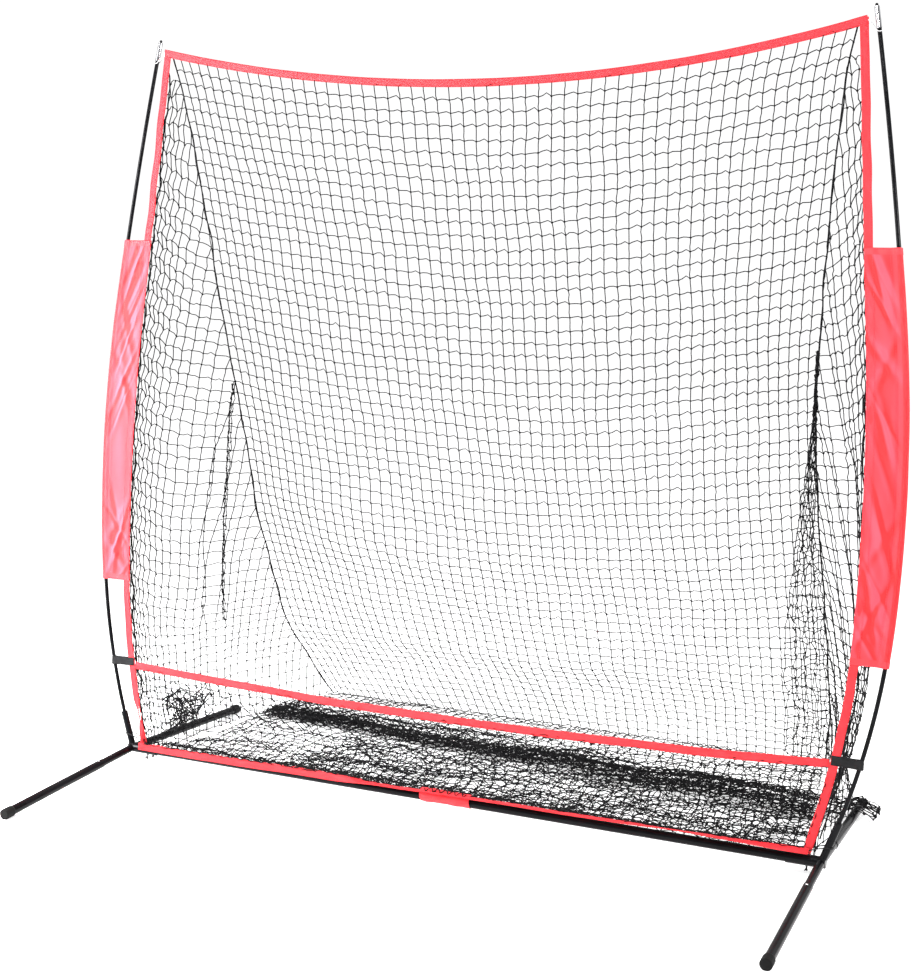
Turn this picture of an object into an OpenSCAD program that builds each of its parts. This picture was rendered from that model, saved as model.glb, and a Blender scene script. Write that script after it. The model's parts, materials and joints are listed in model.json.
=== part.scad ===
// Pitching target net: a tall bowed frame on four pull-off legs, with a knotted
// catch net behind it and a low ball pocket along the front.
// Millimetres. +X to the right, +Y to the back, +Z up, floor at z = 0.

/* [Frame] */
// distance between the two corner hubs along the bottom bar
hub_span = 2076; // [1800:2:2300]
// height of the bottom bar's centre line over the floor
hub_z = 42; // [36:1:60]
// backward lean of the rods and the red frame, in degrees
lean = 4.7; // [0:0.1:8]
// outside diameter of the bottom bar and of the legs
tube_d = 25.4; // [22:0.2:30]
// wall of the bottom bar and of the legs
tube_wall = 1.2; // [1:0.1:2]
// outside diameter of the hub's short sleeve that takes the bar
sleeve_d = 29; // [27:0.2:34]

/* [Legs] */
// distance from the hub to the end of a leg tube, along the leg
leg_reach = 580; // [450:5:700]
// length of bare hub arm that shows before the leg tube starts
arm_show = 155; // [100:5:200]
// length of hub arm hidden in the leg tube
arm_hidden = 70; // [40:5:90]
// outside diameter of the hub arms
arm_d = 22.2; // [20:0.1:24]
// outside diameter of the rubber foot caps
cap_d = 30; // [29:0.5:36]

/* [Snap buttons] */
// diameter of the button head
button_d = 6.8; // [5:0.2:8]
// distance a button is pressed in
button_travel = 4.2; // [4:0.1:4.6]
// distance from the leg tube's end to its button
button_inset = 16; // [12:1:30]

/* [Bow rods] */
// outside diameter of the rods
rod_d = 11; // [9:0.5:12]
// bore of the rods
rod_bore = 6; // [5:0.5:7]
// outward angle of the rods at the hubs, in degrees
rod_angle_low = 21.2; // [10:0.2:24]
// length of the rod sockets
socket_len = 112; // [80:2:140]
// diameter of the elastic cord inside the rods
shock_d = 3; // [2:0.5:4]

/* [Fabric] */
// width of the red edge webbing
band_w = 22; // [18:1:30]
// thickness of the red edge webbing
band_t = 1.6; // [1:0.2:3]
// distance from rod to edge webbing at the bottom corner
gap_low = 45; // [40:1:60]
// distance from rod to edge webbing at the top corner
gap_high = 32; // [28:1:45]
// extra distance from rod to edge webbing at mid height
gap_bow = 46; // [20:1:70]
// start of the side panels along the rod
panel_low = 520; // [450:5:600]
// end of the side panels along the rod
panel_high = 1545; // [1475:5:1600]
// sag of the top band at its middle
top_sag = 108; // [40:2:160]
// set-back of the top band's middle
top_back = 30; // [0:2:60]
// height of the lip's top band over the bar
lip_h = 250; // [200:5:320]
// sag of the lip's top band
lip_sag = 28; // [0:2:50]
// length of the red wrap round the middle of the bar
wrap_len = 150; // [80:5:200]

/* [Net] */
// distance from the bar to the rear edge of the net on the floor
net_depth = 930; // [800:5:1000]
// thickness the netting is drawn at
net_t = 1.2; // [1:0.2:3]
// diameter of the seam cords
seam_d = 5; // [3:0.5:6]

/* [Hidden] */
fa = 64;
// clearance kept between soft pieces and their neighbours
air = 0.4;
hub_x = hub_span / 2;
cap_r = cap_d / 2;
// a foot cap's centre, low enough to give it a flat sole
cap_z = cap_r - 1.2;
leg_slope = asin((hub_z - cap_z) / leg_reach);
cap_len = 33;
cap_over = 6;
front_reach = (leg_reach + cap_over) * cos(leg_slope) + cap_r * sin(leg_slope);
bar_y = (front_reach - net_depth) / 2;
// clearance between hub arm and leg, and between bar and hub sleeve
slip = 0.3;
leg_bore = arm_d + 2 * slip;
arm_bore = arm_d - 3;
button_at = arm_show + button_inset;
button_air = 0.35;
// the three rod sections as [length, turn in degrees], from the hub to the tip
bow = [[608, 17.4], [760, 10.7], [761, 3.2]];
rod_len = run_start(len(bow));
rod_foot = 16;
ferrule_len = 76;
ferrule_d = 14.4;
// room in the straight sleeves for the rods' bend, and the shift that centres them
ferrule_bore = rod_d + 1;
ferrule_shift = 0.15;
tip_d = 13.4;
tip_bore = rod_d + 0.4;
tip_len = 52;
tip_wall = 1.6;
pocket_bore = ferrule_d + 1.8;
pocket_d = pocket_bore + 3;
bar_end = hub_x - 14;
sleeve_len = 76;
joint_low = run_start(1);
joint_high = run_start(2);
// half the gap between two rod sections
butt = 0.15;
// height that a pressed button ends below the leg's bore
button_clear = 0.5;
// the red frame's bottom and top corners, along the rod
edge_low = 19;
edge_high = 2106;
edge_steps = 44;
band_steps = 48;
tab_at = 270;
tab_h = 25;
tab_t = 1.6;
// front offset of the bottom band from the bar's centre
bottom_band_out = 16.2;
net_gap = 6;
// outline of the catch net seen from the side: [back from the bar, height]
net_side_line = [[net_depth, 14], [700, 280], [500, 700], [335, 1200], [173, 2086]];
// half width of the catch net at a given distance back from the bar
net_half = 1047;
net_taper = 0.209;
net_turn = atan(net_taper);
// height at which the seam cords start
seam_top = 2036;
// the catch net's top edge is cut lower by this share of the sheet's shift
net_drop = 0.45;
// edge webbing's inner corner at the top, and half widths at the lip and the bottom
top_in = edge_line([edge_high], band_w / 2)[0];
lip_s = lip_h / cos(rod_angle_low);
lip_half = edge_line([lip_s], band_w / 2 + air)[0][0] - 6;
bottom_half = edge_line([edge_low], 0)[0][0];

// ---- rod geometry ----

// distance along the rod at which run i starts
function run_start(i) = i == 0 ? 0 : run_start(i - 1) + bow[i - 1][0];
// outward angle at the start of run i
function run_angle(i) = i == 0 ? rod_angle_low : run_angle(i - 1) - bow[i - 1][1];
// radius of a run's bend
function run_r(i) = bow[i][0] * 180 / (bow[i][1] * PI);
// step [outward, up] made over the first d of run i
function run_step(i, d) = let (a = run_angle(i))
  let (r = run_r(i), b = a - bow[i][1] * d / bow[i][0])
  [r * (cos(b) - cos(a)), r * (sin(a) - sin(b))];
// position of run i's start
function run_pos(i) = i == 0 ? [hub_x, 0] : run_pos(i - 1) + run_step(i - 1, bow[i - 1][0]);
// the run that a distance along the rod lies on
function run_of(s, i = 0) = i == len(bow) - 1 || s < run_start(i + 1) ? i : run_of(s, i + 1);
function rod_pos(s) = let (i = run_of(s)) run_pos(i) + run_step(i, s - run_start(i));
function rod_angle(s) = let (i = run_of(s))
  run_angle(i) - bow[i][1] * (s - run_start(i)) / bow[i][0];
// distance from the rod to the middle of the edge webbing
function edge_gap(s) = let (t = (s - edge_low) / (edge_high - edge_low))
  gap_low + (gap_high - gap_low) * t + 4 * gap_bow * t * (1 - t);
// stations along the rod
function stations(a, b, n) = [for (i = [0:n]) a + (b - a) * i / n];
// points beside the rod, moved inward by the edge gap and by extra
function edge_line(list, extra) = [for (s = list) rod_pos(s) - [edge_gap(s) + extra, 0]];
function beside_rod(list, inward) = [for (s = list) rod_pos(s) - [inward, 0]];
function reversed(list) = [for (i = [len(list) - 1:-1:0]) list[i]];
// height of a hanging arc at x, with sag at the middle of a half span
function arc_r(half, sag) = (half * half + sag * sag) / (2 * sag);
function arc_y(x, half, sag) = let (r = arc_r(half, sag)) r - sag - sqrt(r * r - x * x);
function arc_line(half, sag, up) = [
  for (x = stations(-half, half, band_steps)) [x, arc_y(x, half, sag) + up]
];

// ---- placing ----

// the leaning plane of the rods and the red frame
module in_frame() {
  translate([0, bar_y, hub_z])
    rotate([-lean, 0, 0])
      rotate([90, 0, 0])
        children();
}

module left() {
  mirror([1, 0, 0])
    children();
}

// a leg's own axis: +X out along the leg, +Z up, on the right side
module on_leg(front) {
  translate([hub_x, bar_y, hub_z])
    rotate([0, 0, front ? -90 : 90])
      rotate([0, leg_slope, 0])
        children();
}

module along_x(len, r, bore) {
  rotate([0, 90, 0])
    difference() {
      cylinder(h = len, r = r, $fn = fa);
      translate([0, 0, -1])
        cylinder(h = len + 2, r = bore, $fn = fa);
    }
}

// the part of the rod's path from a to b, as a tube or a solid
module rod_path(a, b, outer, inner = 0) {
  for (i = [0:len(bow) - 1]) {
    from = max(a, run_start(i));
    to = min(b, run_start(i) + bow[i][0]);
    if (to - from > 0.01)
      path_piece(i, from, to, outer, inner);
  }
}

module ring_2d(outer, inner) {
  if (inner == 0)
    circle(r = outer, $fn = fa);
  else
    difference() {
      circle(r = outer, $fn = fa);
      circle(r = inner, $fn = fa);
    }
}

module path_piece(i, from, to, outer, inner) {
  done = from - run_start(i);
  p = run_pos(i) + run_step(i, done);
  a = run_angle(i) - bow[i][1] * done / bow[i][0];
  turn = bow[i][1] * (to - from) / bow[i][0];
  translate([p[0] - run_r(i) * cos(a), p[1] + run_r(i) * sin(a), 0])
    rotate([0, 0, -a])
      rotate_extrude(angle = turn, $fn = 360)
        translate([run_r(i), 0])
          ring_2d(outer, inner);
}

// a cross-section placed square to the rod at s
module square_to_rod(s) {
  p = rod_pos(s);
  translate([p[0], p[1], 0])
    rotate([0, 0, -rod_angle(s)])
      rotate([-90, 0, 0])
        children();
}

module sheet_2d(points, t) {
  translate([0, 0, -t / 2])
    linear_extrude(height = t)
      polygon(points);
}

// ---- bottom bar and hubs ----

module bar_half() {
  translate([0.2, bar_y, hub_z])
    along_x(bar_end - 0.2, tube_d / 2, tube_d / 2 - tube_wall);
}

module bar_left() {
  color([0.03, 0.03, 0.035])
    left() bar_half();
}

module bar_right() {
  color([0.03, 0.03, 0.035])
    bar_half();
}

module bar_joiner() {
  joiner_d = tube_d - 2 * tube_wall - 0.6;
  color([0.1, 0.1, 0.1])
    translate([-80, bar_y, hub_z])
      along_x(160, joiner_d / 2, joiner_d / 2 - 1.2);
}

module hub() {
  sleeve_bore = tube_d + 2 * slip;
  // the sleeve's closed end reaches this far past the hub's centre on both sides
  sleeve_end = 12;
  // length of the arms that is solid, next to the welds
  arm_solid = 60;
  socket_r = 9.6;
  socket_bore = rod_d / 2 + 0.45;
  // the straight socket is centred on the bent rod at this distance from the hub
  mid = 64;
  shift = 0.28;
  floor_at = 14;
  difference() {
    union() {
      translate([hub_x - sleeve_end - sleeve_len, bar_y, hub_z])
        rotate([0, 90, 0])
          cylinder(h = sleeve_len + 2 * sleeve_end, r = sleeve_d / 2, $fn = fa);
      for (front = [true, false])
        on_leg(front)
          rotate([0, 90, 0])
            cylinder(h = arm_show + arm_hidden, r = arm_d / 2, $fn = fa);
      in_frame()
        square_to_rod(mid)
          translate([-shift, 0, -mid])
            cylinder(h = socket_len, r = socket_r, $fn = fa);
    }
    translate([hub_x - sleeve_end - 1 - sleeve_len, bar_y, hub_z])
      rotate([0, 90, 0])
        cylinder(h = sleeve_len + 0.5, r = sleeve_bore / 2, $fn = fa);
    for (front = [true, false])
      on_leg(front) {
        translate([arm_solid, 0, 0])
          rotate([0, 90, 0])
            cylinder(h = arm_show + arm_hidden, r = arm_bore / 2, $fn = fa);
        translate([button_at, 0, 0])
          cylinder(h = cap_d, r = button_d / 2 + button_air, $fn = fa);
      }
    in_frame()
      square_to_rod(mid)
        translate([-shift, 0, floor_at - mid])
          cylinder(h = socket_len, r = socket_bore, $fn = fa);
  }
}

module hub_left() {
  color([0.03, 0.03, 0.035])
    left() hub();
}

module hub_right() {
  color([0.03, 0.03, 0.035])
    hub();
}

// ---- legs ----

module leg(front) {
  on_leg(front)
    difference() {
      translate([arm_show, 0, 0])
        along_x(leg_reach - arm_show, tube_d / 2, leg_bore / 2);
      translate([button_at, 0, 0])
        cylinder(h = cap_d, r = button_d / 2 + button_air, $fn = fa);
    }
}

// a rubber cap pushed over the leg's end, with a flat worn sole
module cap(front) {
  inside = leg_reach + air / 4;
  open_at = leg_reach + cap_over - cap_len - 1;
  difference() {
    on_leg(front)
      translate([leg_reach + cap_over, 0, 0])
        rotate([0, -90, 0])
          rotate_extrude($fn = 96)
            polygon([
              [0, 0], [cap_r - 3, 0], [cap_r - 0.9, 0.9], [cap_r, 3],
              [cap_r, cap_len - 3], [cap_r - 1, cap_len], [0, cap_len],
            ]);
    on_leg(front)
      translate([open_at, 0, 0])
        rotate([0, 90, 0])
          cylinder(h = inside - open_at, r = tube_d / 2 + 0.05, $fn = fa);
    translate([0, -1500, -50])
      cube([2000, 3000, 50]);
  }
}

// the button: a domed head on a wider foot that stays inside the arm
module button(front) {
  foot_top = arm_bore / 2 - 1.7;
  foot_h = 1.4;
  top = leg_bore / 2 + button_travel - button_clear;
  r = button_d / 2;
  on_leg(front)
    translate([button_at, 0, 0])
      rotate_extrude($fn = fa)
        polygon([
          [0, foot_top - foot_h], [r + 1.6, foot_top - foot_h], [r + 1.6, foot_top],
          [r, foot_top], [r, top - 1.4], [r * 0.8, top - 0.5], [r * 0.4, top], [0, top],
        ]);
}

// the leaf spring under the button, a narrow strip bent to a V
module clip(front) {
  t = 0.6;
  half = arm_bore / 2 - 1.2;
  up = arm_bore / 2 - 2.6 - t;
  // half length of the flat under the button, and distance from the button to the bend
  flat = 9;
  tail = 46;
  wide = 8;
  on_leg(front)
    translate([button_at, wide / 2, 0])
      rotate([90, 0, 0])
        linear_extrude(height = wide)
          polygon([
            [flat, up], [-flat, up], [-tail, 0.2], [-tail, -0.4], [flat, 0 - half],
            [flat, t - half], [5 - tail, 0], [1 - flat, up - t], [flat, up - t],
          ]);
}

module leg_front_left() { color([0.03, 0.03, 0.035]) left() leg(true); }
module leg_front_right() { color([0.03, 0.03, 0.035]) leg(true); }
module leg_rear_left() { color([0.03, 0.03, 0.035]) left() leg(false); }
module leg_rear_right() { color([0.03, 0.03, 0.035]) leg(false); }
module cap_front_left() { color([0.05, 0.05, 0.05]) left() cap(true); }
module cap_front_right() { color([0.05, 0.05, 0.05]) cap(true); }
module cap_rear_left() { color([0.05, 0.05, 0.05]) left() cap(false); }
module cap_rear_right() { color([0.05, 0.05, 0.05]) cap(false); }
module button_front_left() { color([0.8, 0.8, 0.8]) left() button(true); }
module button_front_right() { color([0.8, 0.8, 0.8]) button(true); }
module button_rear_left() { color([0.8, 0.8, 0.8]) left() button(false); }
module button_rear_right() { color([0.8, 0.8, 0.8]) button(false); }
module clip_front_left() { color([0.6, 0.6, 0.6]) left() clip(true); }
module clip_front_right() { color([0.6, 0.6, 0.6]) clip(true); }
module clip_rear_left() { color([0.6, 0.6, 0.6]) left() clip(false); }
module clip_rear_right() { color([0.6, 0.6, 0.6]) clip(false); }

// ---- rods ----

module rod(a, b) {
  color([0.02, 0.02, 0.02])
    in_frame()
      rod_path(a, b, rod_d / 2, rod_bore / 2);
}

module rod_low() { rod(rod_foot, joint_low - butt); }
module rod_mid() { rod(joint_low + butt, joint_high - butt); }
module rod_top() { rod(joint_high + butt, rod_len); }

// metal sleeves over the two joints of a rod
module ferrules() {
  color([0.75, 0.75, 0.78])
    in_frame()
      for (s = [joint_low, joint_high])
        square_to_rod(s)
          translate([-ferrule_shift, 0, -ferrule_len / 2])
            linear_extrude(height = ferrule_len)
              ring_2d(ferrule_d / 2, ferrule_bore / 2);
}

// bright cap over a rod's top end, open in the middle for the cord
module tip() {
  color([0.85, 0.85, 0.87])
    in_frame()
      square_to_rod(rod_len)
        difference() {
          translate([0, 0, -tip_len])
            cylinder(h = tip_len + tip_wall, r = tip_d / 2, $fn = fa);
          translate([0, 0, -tip_len - 1])
            cylinder(h = tip_len + 1 + 0.1, r = tip_bore / 2, $fn = fa);
          cylinder(h = tip_wall + 1, r = shock_d / 2 + 0.5, $fn = fa);
        }
}

// elastic cord through all three rod pieces, knotted at the tip
module shock_cord() {
  knot_r = 4;
  color([0.05, 0.05, 0.05])
    in_frame() {
      rod_path(rod_foot + 1, joint_low - butt, shock_d / 2);
      rod_path(joint_low + butt, joint_high - butt, shock_d / 2);
      rod_path(joint_high + butt, rod_len - 2 * butt, shock_d / 2);
      square_to_rod(rod_len)
        cylinder(h = tip_wall + 2, r = shock_d / 2, $fn = fa);
      square_to_rod(rod_len)
        translate([0, 0, tip_wall + knot_r + 0.1])
          sphere(r = knot_r, $fn = fa);
    }
}

module rod_low_left() { left() rod_low(); }
module rod_low_right() { rod_low(); }
module rod_mid_left() { left() rod_mid(); }
module rod_mid_right() { rod_mid(); }
module rod_top_left() { left() rod_top(); }
module rod_top_right() { rod_top(); }
module ferrules_left() { left() ferrules(); }
module ferrules_right() { ferrules(); }
module tip_left() { left() tip(); }
module tip_right() { tip(); }
module shock_cord_left() { left() shock_cord(); }
module shock_cord_right() { shock_cord(); }

// ---- red fabric ----

// a fabric sleeve round the rod with a flat panel to the edge webbing
module panel() {
  list = stations(panel_low, panel_high, edge_steps);
  long = stations(panel_low - 5, panel_high + 5, edge_steps);
  wall_mid = (pocket_d + pocket_bore) / 4;
  color([0.85, 0.08, 0.12])
    in_frame() {
      difference() {
        sheet_2d(concat(beside_rod(list, -pocket_d / 2),
                        reversed(beside_rod(list, pocket_d / 2))), pocket_d);
        sheet_2d(concat(beside_rod(long, -pocket_bore / 2), reversed(beside_rod(long, pocket_bore / 2))),
                 pocket_bore);
      }
      sheet_2d(concat(beside_rod(list, wall_mid), reversed(edge_line(list, -band_w / 2 - air))), 1.4);
    }
}

module trim() {
  list = stations(edge_low, edge_high, edge_steps);
  color([0.85, 0.08, 0.12])
    in_frame()
      sheet_2d(concat(edge_line(list, -band_w / 2), reversed(edge_line(list, band_w / 2))), band_t);
}

module top_band() {
  half = top_in[0] - air;
  fall = sqrt(top_sag * top_sag + top_back * top_back);
  tip_back = atan(top_back / top_sag);
  color([0.85, 0.08, 0.12])
    in_frame()
      translate([0, top_in[1] - band_w / 2, 0])
        rotate([tip_back + lean, 0, 0])
          sheet_2d(concat(arc_line(half, fall, band_w / 2),
                          reversed(arc_line(half, fall, -band_w / 2))), band_t);
}

module lip_band() {
  color([0.85, 0.08, 0.12])
    in_frame()
      translate([0, lip_h, 0])
        sheet_2d(concat(arc_line(lip_half, lip_sag, band_w / 2),
                        reversed(arc_line(lip_half, lip_sag, -band_w / 2))), band_t);
}

// runs in front of the bar on the left and rises over it to the right
module bottom_band() {
  low = 8;
  high = 27;
  h = band_w / 2;
  color([0.85, 0.08, 0.12])
    in_frame()
      translate([0, 0, bottom_band_out])
        sheet_2d([
          [-bottom_half, low - h], [bottom_half, high - h],
          [bottom_half, high + h], [-bottom_half, low + h],
        ], band_t);
}

module bar_wrap() {
  color([0.85, 0.08, 0.12])
    translate([-wrap_len / 2 + 8, bar_y, hub_z])
      along_x(wrap_len, tube_d / 2 + 1.8, tube_d / 2 + air);
}

module panel_left() { left() panel(); }
module panel_right() { panel(); }
module trim_left() { left() trim(); }
module trim_right() { trim(); }

// ---- black tabs and loops ----

// webbing tab: a ring round the rod and a flat strap to the edge webbing
module tab() {
  list = stations(tab_at - tab_h / 2, tab_at + tab_h / 2, 4);
  ring_r = rod_d / 2 + 0.6;
  color([0.05, 0.05, 0.05])
    in_frame() {
      rod_path(tab_at - tab_h / 2, tab_at + tab_h / 2, ring_r + tab_t, ring_r);
      sheet_2d(concat(beside_rod(list, ring_r + tab_t / 2),
                      reversed(edge_line(list, -band_w / 2 - air))), tab_t);
    }
}

// a cord loop round the rod: two half turns and two straight runs
module loop(s, bend_r, reach, cord_r) {
  in_frame()
    square_to_rod(s) {
      rotate([0, 0, -90])
        rotate_extrude(angle = 180, $fn = fa)
          translate([bend_r, 0])
            circle(r = cord_r, $fn = 32);
      translate([-reach, 0, 0])
        rotate([0, 0, 90])
          rotate_extrude(angle = 180, $fn = fa)
            translate([bend_r, 0])
              circle(r = cord_r, $fn = 32);
      for (side = [-1, 1])
        translate([-reach, side * bend_r, 0])
          rotate([0, 90, 0])
            cylinder(h = reach, r = cord_r, $fn = 32);
    }
}

module top_loop() {
  color([0.75, 0.75, 0.75])
    loop(rod_len - tip_len - 8, rod_d / 2 + 2, 9, 1.1);
}

module corner_loop() {
  color([0.05, 0.05, 0.05])
    loop(46, 12.2, 14, 1.5);
}

module tab_left() { left() tab(); }
module tab_right() { tab(); }
module top_loop_left() { left() top_loop(); }
module top_loop_right() { top_loop(); }
module corner_loop_left() { left() corner_loop(); }
module corner_loop_right() { corner_loop(); }

// ---- net ----

// the side outline moved forward by d and down by a share of it
function shifted(line, d) = [for (p = line) [p[0] - d, p[1] - d * net_drop]];

module side_profile(points, half) {
  translate([-half, bar_y, 0])
    rotate([90, 0, 90])
      linear_extrude(height = 2 * half)
        polygon(points);
}

// plan outline of the net between two distances back from the bar
module plan_outline(from, to, inset) {
  a = net_half - net_taper * from - inset;
  b = net_half - net_taper * to - inset;
  translate([0, bar_y, -10])
    linear_extrude(height = 2400)
      polygon([[-a, from], [a, from], [b, to], [-b, to]]);
}

module net_back() {
  top_z = hub_z + (top_in[1] - band_w / 2) * cos(lean);
  half = top_in[0];
  color([0.08, 0.08, 0.08])
    intersection() {
      side_profile(concat(net_side_line, reversed(shifted(net_side_line, net_t))), 1100);
      plan_outline(100, 1000, net_gap + seam_d);
      translate([0, bar_y + 1000, 0])
        rotate([90, 0, 0])
          linear_extrude(height = 1000)
            polygon(concat(
              [[-half, 0]], arc_line(half, top_sag, top_z - band_w / 2 - 4), [[half, 0]]
            ));
    }
}

// triangular side piece between the edge webbing and the seam
module net_side() {
  slope = tan(lean);
  low = 12;
  high = 2050;
  color([0.08, 0.08, 0.08])
    translate([net_half, bar_y, 0])
      rotate([0, 0, net_turn])
        rotate([90, 0, 90])
          linear_extrude(height = net_t)
            scale([1 / cos(net_turn), 1])
              polygon(concat(
                [[16 + (low - hub_z) * slope, low], [16 + (high - hub_z) * slope, high]],
                reversed([for (p = net_side_line) if (p[1] < high) [p[0] - 14, max(p[1] - 6, low)]])
              ));
}

module net_floor() {
  color([0.08, 0.08, 0.08])
    intersection() {
      plan_outline(24, net_depth, net_gap + seam_d);
      translate([-1100, bar_y, 0])
        cube([2200, net_depth, net_t]);
    }
}

module net_lip() {
  list = stations(edge_low + 8, lip_s - 4, 12);
  side = edge_line(list, band_w / 2 + 10);
  top = [for (x = stations(-1, 1, band_steps)) let (w = side[len(side) - 1][0])
    [x * w, lip_h + arc_y(x * w, lip_half, lip_sag) - band_w / 2 - 2]];
  color([0.08, 0.08, 0.08])
    in_frame()
      translate([0, 0, -4])
        sheet_2d(concat(
          reversed([for (p = side) if (p[1] < lip_h - band_w) p]),
          [for (p = side) if (p[1] < lip_h - band_w) [-p[0], p[1]]],
          top
        ), net_t);
}

// the thick seam cord down the corner of the catch net
module seam_cord() {
  n = len(net_side_line);
  r = seam_d / 2;
  pts = [for (p = net_side_line)
    [net_half - net_taper * p[0] - net_gap / 2, p[0], min(p[1], seam_top)]];
  color([0.04, 0.04, 0.04])
    translate([0, bar_y, 0])
      for (i = [0:n - 2]) {
        d = pts[i + 1] - pts[i];
        l = norm(d);
        translate(pts[i]) {
          sphere(r = r * 1.08, $fn = 32);
          rotate([0, acos(d[2] / l), atan2(d[1], d[0])])
            cylinder(h = l, r = r, $fn = 32);
        }
      }
}

module net_side_left() { left() net_side(); }
module net_side_right() { net_side(); }
module seam_cord_left() { left() seam_cord(); }
module seam_cord_right() { seam_cord(); }

bar_left();
bar_right();
bar_joiner();
hub_left();
hub_right();
leg_front_left();
leg_front_right();
leg_rear_left();
leg_rear_right();
cap_front_left();
cap_front_right();
cap_rear_left();
cap_rear_right();
button_front_left();
button_front_right();
button_rear_left();
button_rear_right();
clip_front_left();
clip_front_right();
clip_rear_left();
clip_rear_right();
rod_low_left();
rod_low_right();
rod_mid_left();
rod_mid_right();
rod_top_left();
rod_top_right();
ferrules_left();
ferrules_right();
tip_left();
tip_right();
shock_cord_left();
shock_cord_right();
panel_left();
panel_right();
trim_left();
trim_right();
top_band();
lip_band();
bottom_band();
bar_wrap();
tab_left();
tab_right();
top_loop_left();
top_loop_right();
corner_loop_left();
corner_loop_right();
net_back();
net_side_left();
net_side_right();
net_floor();
net_lip();
seam_cord_left();
seam_cord_right();
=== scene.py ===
import json
import math

import bpy
import numpy as np
from mathutils import Matrix, Vector


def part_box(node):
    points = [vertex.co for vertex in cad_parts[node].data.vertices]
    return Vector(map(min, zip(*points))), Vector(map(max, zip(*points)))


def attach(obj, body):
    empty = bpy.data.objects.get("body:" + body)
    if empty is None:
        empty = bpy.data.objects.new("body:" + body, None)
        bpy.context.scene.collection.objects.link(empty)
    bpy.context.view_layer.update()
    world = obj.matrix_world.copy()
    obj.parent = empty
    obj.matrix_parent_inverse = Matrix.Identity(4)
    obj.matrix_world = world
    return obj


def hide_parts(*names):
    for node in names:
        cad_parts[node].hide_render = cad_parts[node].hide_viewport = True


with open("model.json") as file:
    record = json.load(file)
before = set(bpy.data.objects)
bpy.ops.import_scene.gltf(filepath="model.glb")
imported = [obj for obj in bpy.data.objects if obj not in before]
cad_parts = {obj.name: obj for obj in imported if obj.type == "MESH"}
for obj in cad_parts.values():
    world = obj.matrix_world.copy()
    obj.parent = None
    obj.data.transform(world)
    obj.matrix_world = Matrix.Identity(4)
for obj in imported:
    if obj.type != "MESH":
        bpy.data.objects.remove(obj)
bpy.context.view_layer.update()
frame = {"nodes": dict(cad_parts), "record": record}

NODES = frame["nodes"]
scene = bpy.context.scene

# ---------------------------------------------------------------- camera

CAM_AT = (1.735, -3.977, 1.493)
CAM_YAW, CAM_PITCH, CAM_ROLL = (math.radians(a) for a in (-24.178, -7.894, 0.982))
CAM_LENS = 58.03


def make_camera():
    forward = Vector((math.sin(CAM_YAW) * math.cos(CAM_PITCH),
                      math.cos(CAM_YAW) * math.cos(CAM_PITCH), math.sin(CAM_PITCH)))
    level = Vector((math.cos(CAM_YAW), -math.sin(CAM_YAW), 0))
    up = level.cross(forward)
    right = level * math.cos(CAM_ROLL) + up * math.sin(CAM_ROLL)
    up = up * math.cos(CAM_ROLL) - level * math.sin(CAM_ROLL)
    data = bpy.data.cameras.new("camera")
    data.lens = CAM_LENS
    data.sensor_width = 36
    data.clip_end = 60
    cam = bpy.data.objects.new("camera", data)
    scene.collection.objects.link(cam)
    turn = Matrix((right, up, -forward)).transposed()
    cam.matrix_world = Matrix.Translation(CAM_AT) @ turn.to_4x4()
    scene.camera = cam


make_camera()

# ---------------------------------------------------------------- the CAD frame's own lines

bar_lo, bar_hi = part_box("bar_right")
leg_lo, leg_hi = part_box("leg_front_right")
BAR_Y = (bar_lo.y + bar_hi.y) / 2
BAR_Z = (bar_lo.z + bar_hi.z) / 2
BAR_R = (bar_hi.z - bar_lo.z) / 2
HUB_X = (leg_lo.x + leg_hi.x) / 2
LEAN = math.radians(4.7)
ROD_R = 0.0055
ROD_ANGLE = 21.2
BOW = ((0.608, 17.4), (0.760, 10.7), (0.761, 3.2))
ROD_LEN = sum(b[0] for b in BOW)
BAND_W = 0.022
BAND_T = 0.0018
EDGE_LOW, EDGE_HIGH = 0.019, 2.106
GAP_LOW, GAP_HIGH, GAP_BOW = 0.045, 0.032, 0.046
PANEL_LOW, PANEL_HIGH = 0.520, 1.545
LIP_H, LIP_SAG = 0.250, 0.028
TOP_SAG, TOP_BACK = 0.108, 0.030
BAND_OUT = 0.0162
BAND_LEFT, BAND_RIGHT = 0.008, 0.027
TAB_AT, TAB_H = 0.270, 0.025
AIR = 0.0004
SIDES = ((-1, "left"), (1, "right"))


def in_frame(u, w, n):
    """Points of the leaning plane: u to the right, w up along the lean, n to the front."""
    u, w, n = np.broadcast_arrays(np.asarray(u, float), w, n)
    return np.stack([u, BAR_Y + w * math.sin(LEAN) - n * math.cos(LEAN),
                     BAR_Z + w * math.cos(LEAN) + n * math.sin(LEAN)], -1)


FRONT = np.array([0, -math.cos(LEAN), math.sin(LEAN)])
UP = np.array([0, math.sin(LEAN), math.cos(LEAN)])
RIGHT = np.array([1.0, 0, 0])


def rod_at(s):
    """Rod centre (u, w) and its outward angle at distance s from the hub."""
    s = np.asarray(s, float)
    u = np.full_like(s, HUB_X)
    w = np.zeros_like(s)
    angle = np.full_like(s, math.radians(ROD_ANGLE))
    start = 0.0
    for length, turn in BOW:
        turn = math.radians(turn)
        r = length / turn
        d = np.clip(s - start, 0, length)
        b = angle - d / r
        u = u + r * (np.cos(b) - np.cos(angle))
        w = w + r * (np.sin(angle) - np.sin(b))
        angle = b
        start += length
    return u, w, angle


def edge_gap(s):
    t = (np.asarray(s, float) - EDGE_LOW) / (EDGE_HIGH - EDGE_LOW)
    return GAP_LOW + (GAP_HIGH - GAP_LOW) * t + 4 * GAP_BOW * t * (1 - t)


def edge_at(s):
    u, w, a = rod_at(s)
    return u - edge_gap(s), w


EDGE_S = np.linspace(EDGE_LOW, EDGE_HIGH, 400)
EDGE_U, EDGE_W = edge_at(EDGE_S)


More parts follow.
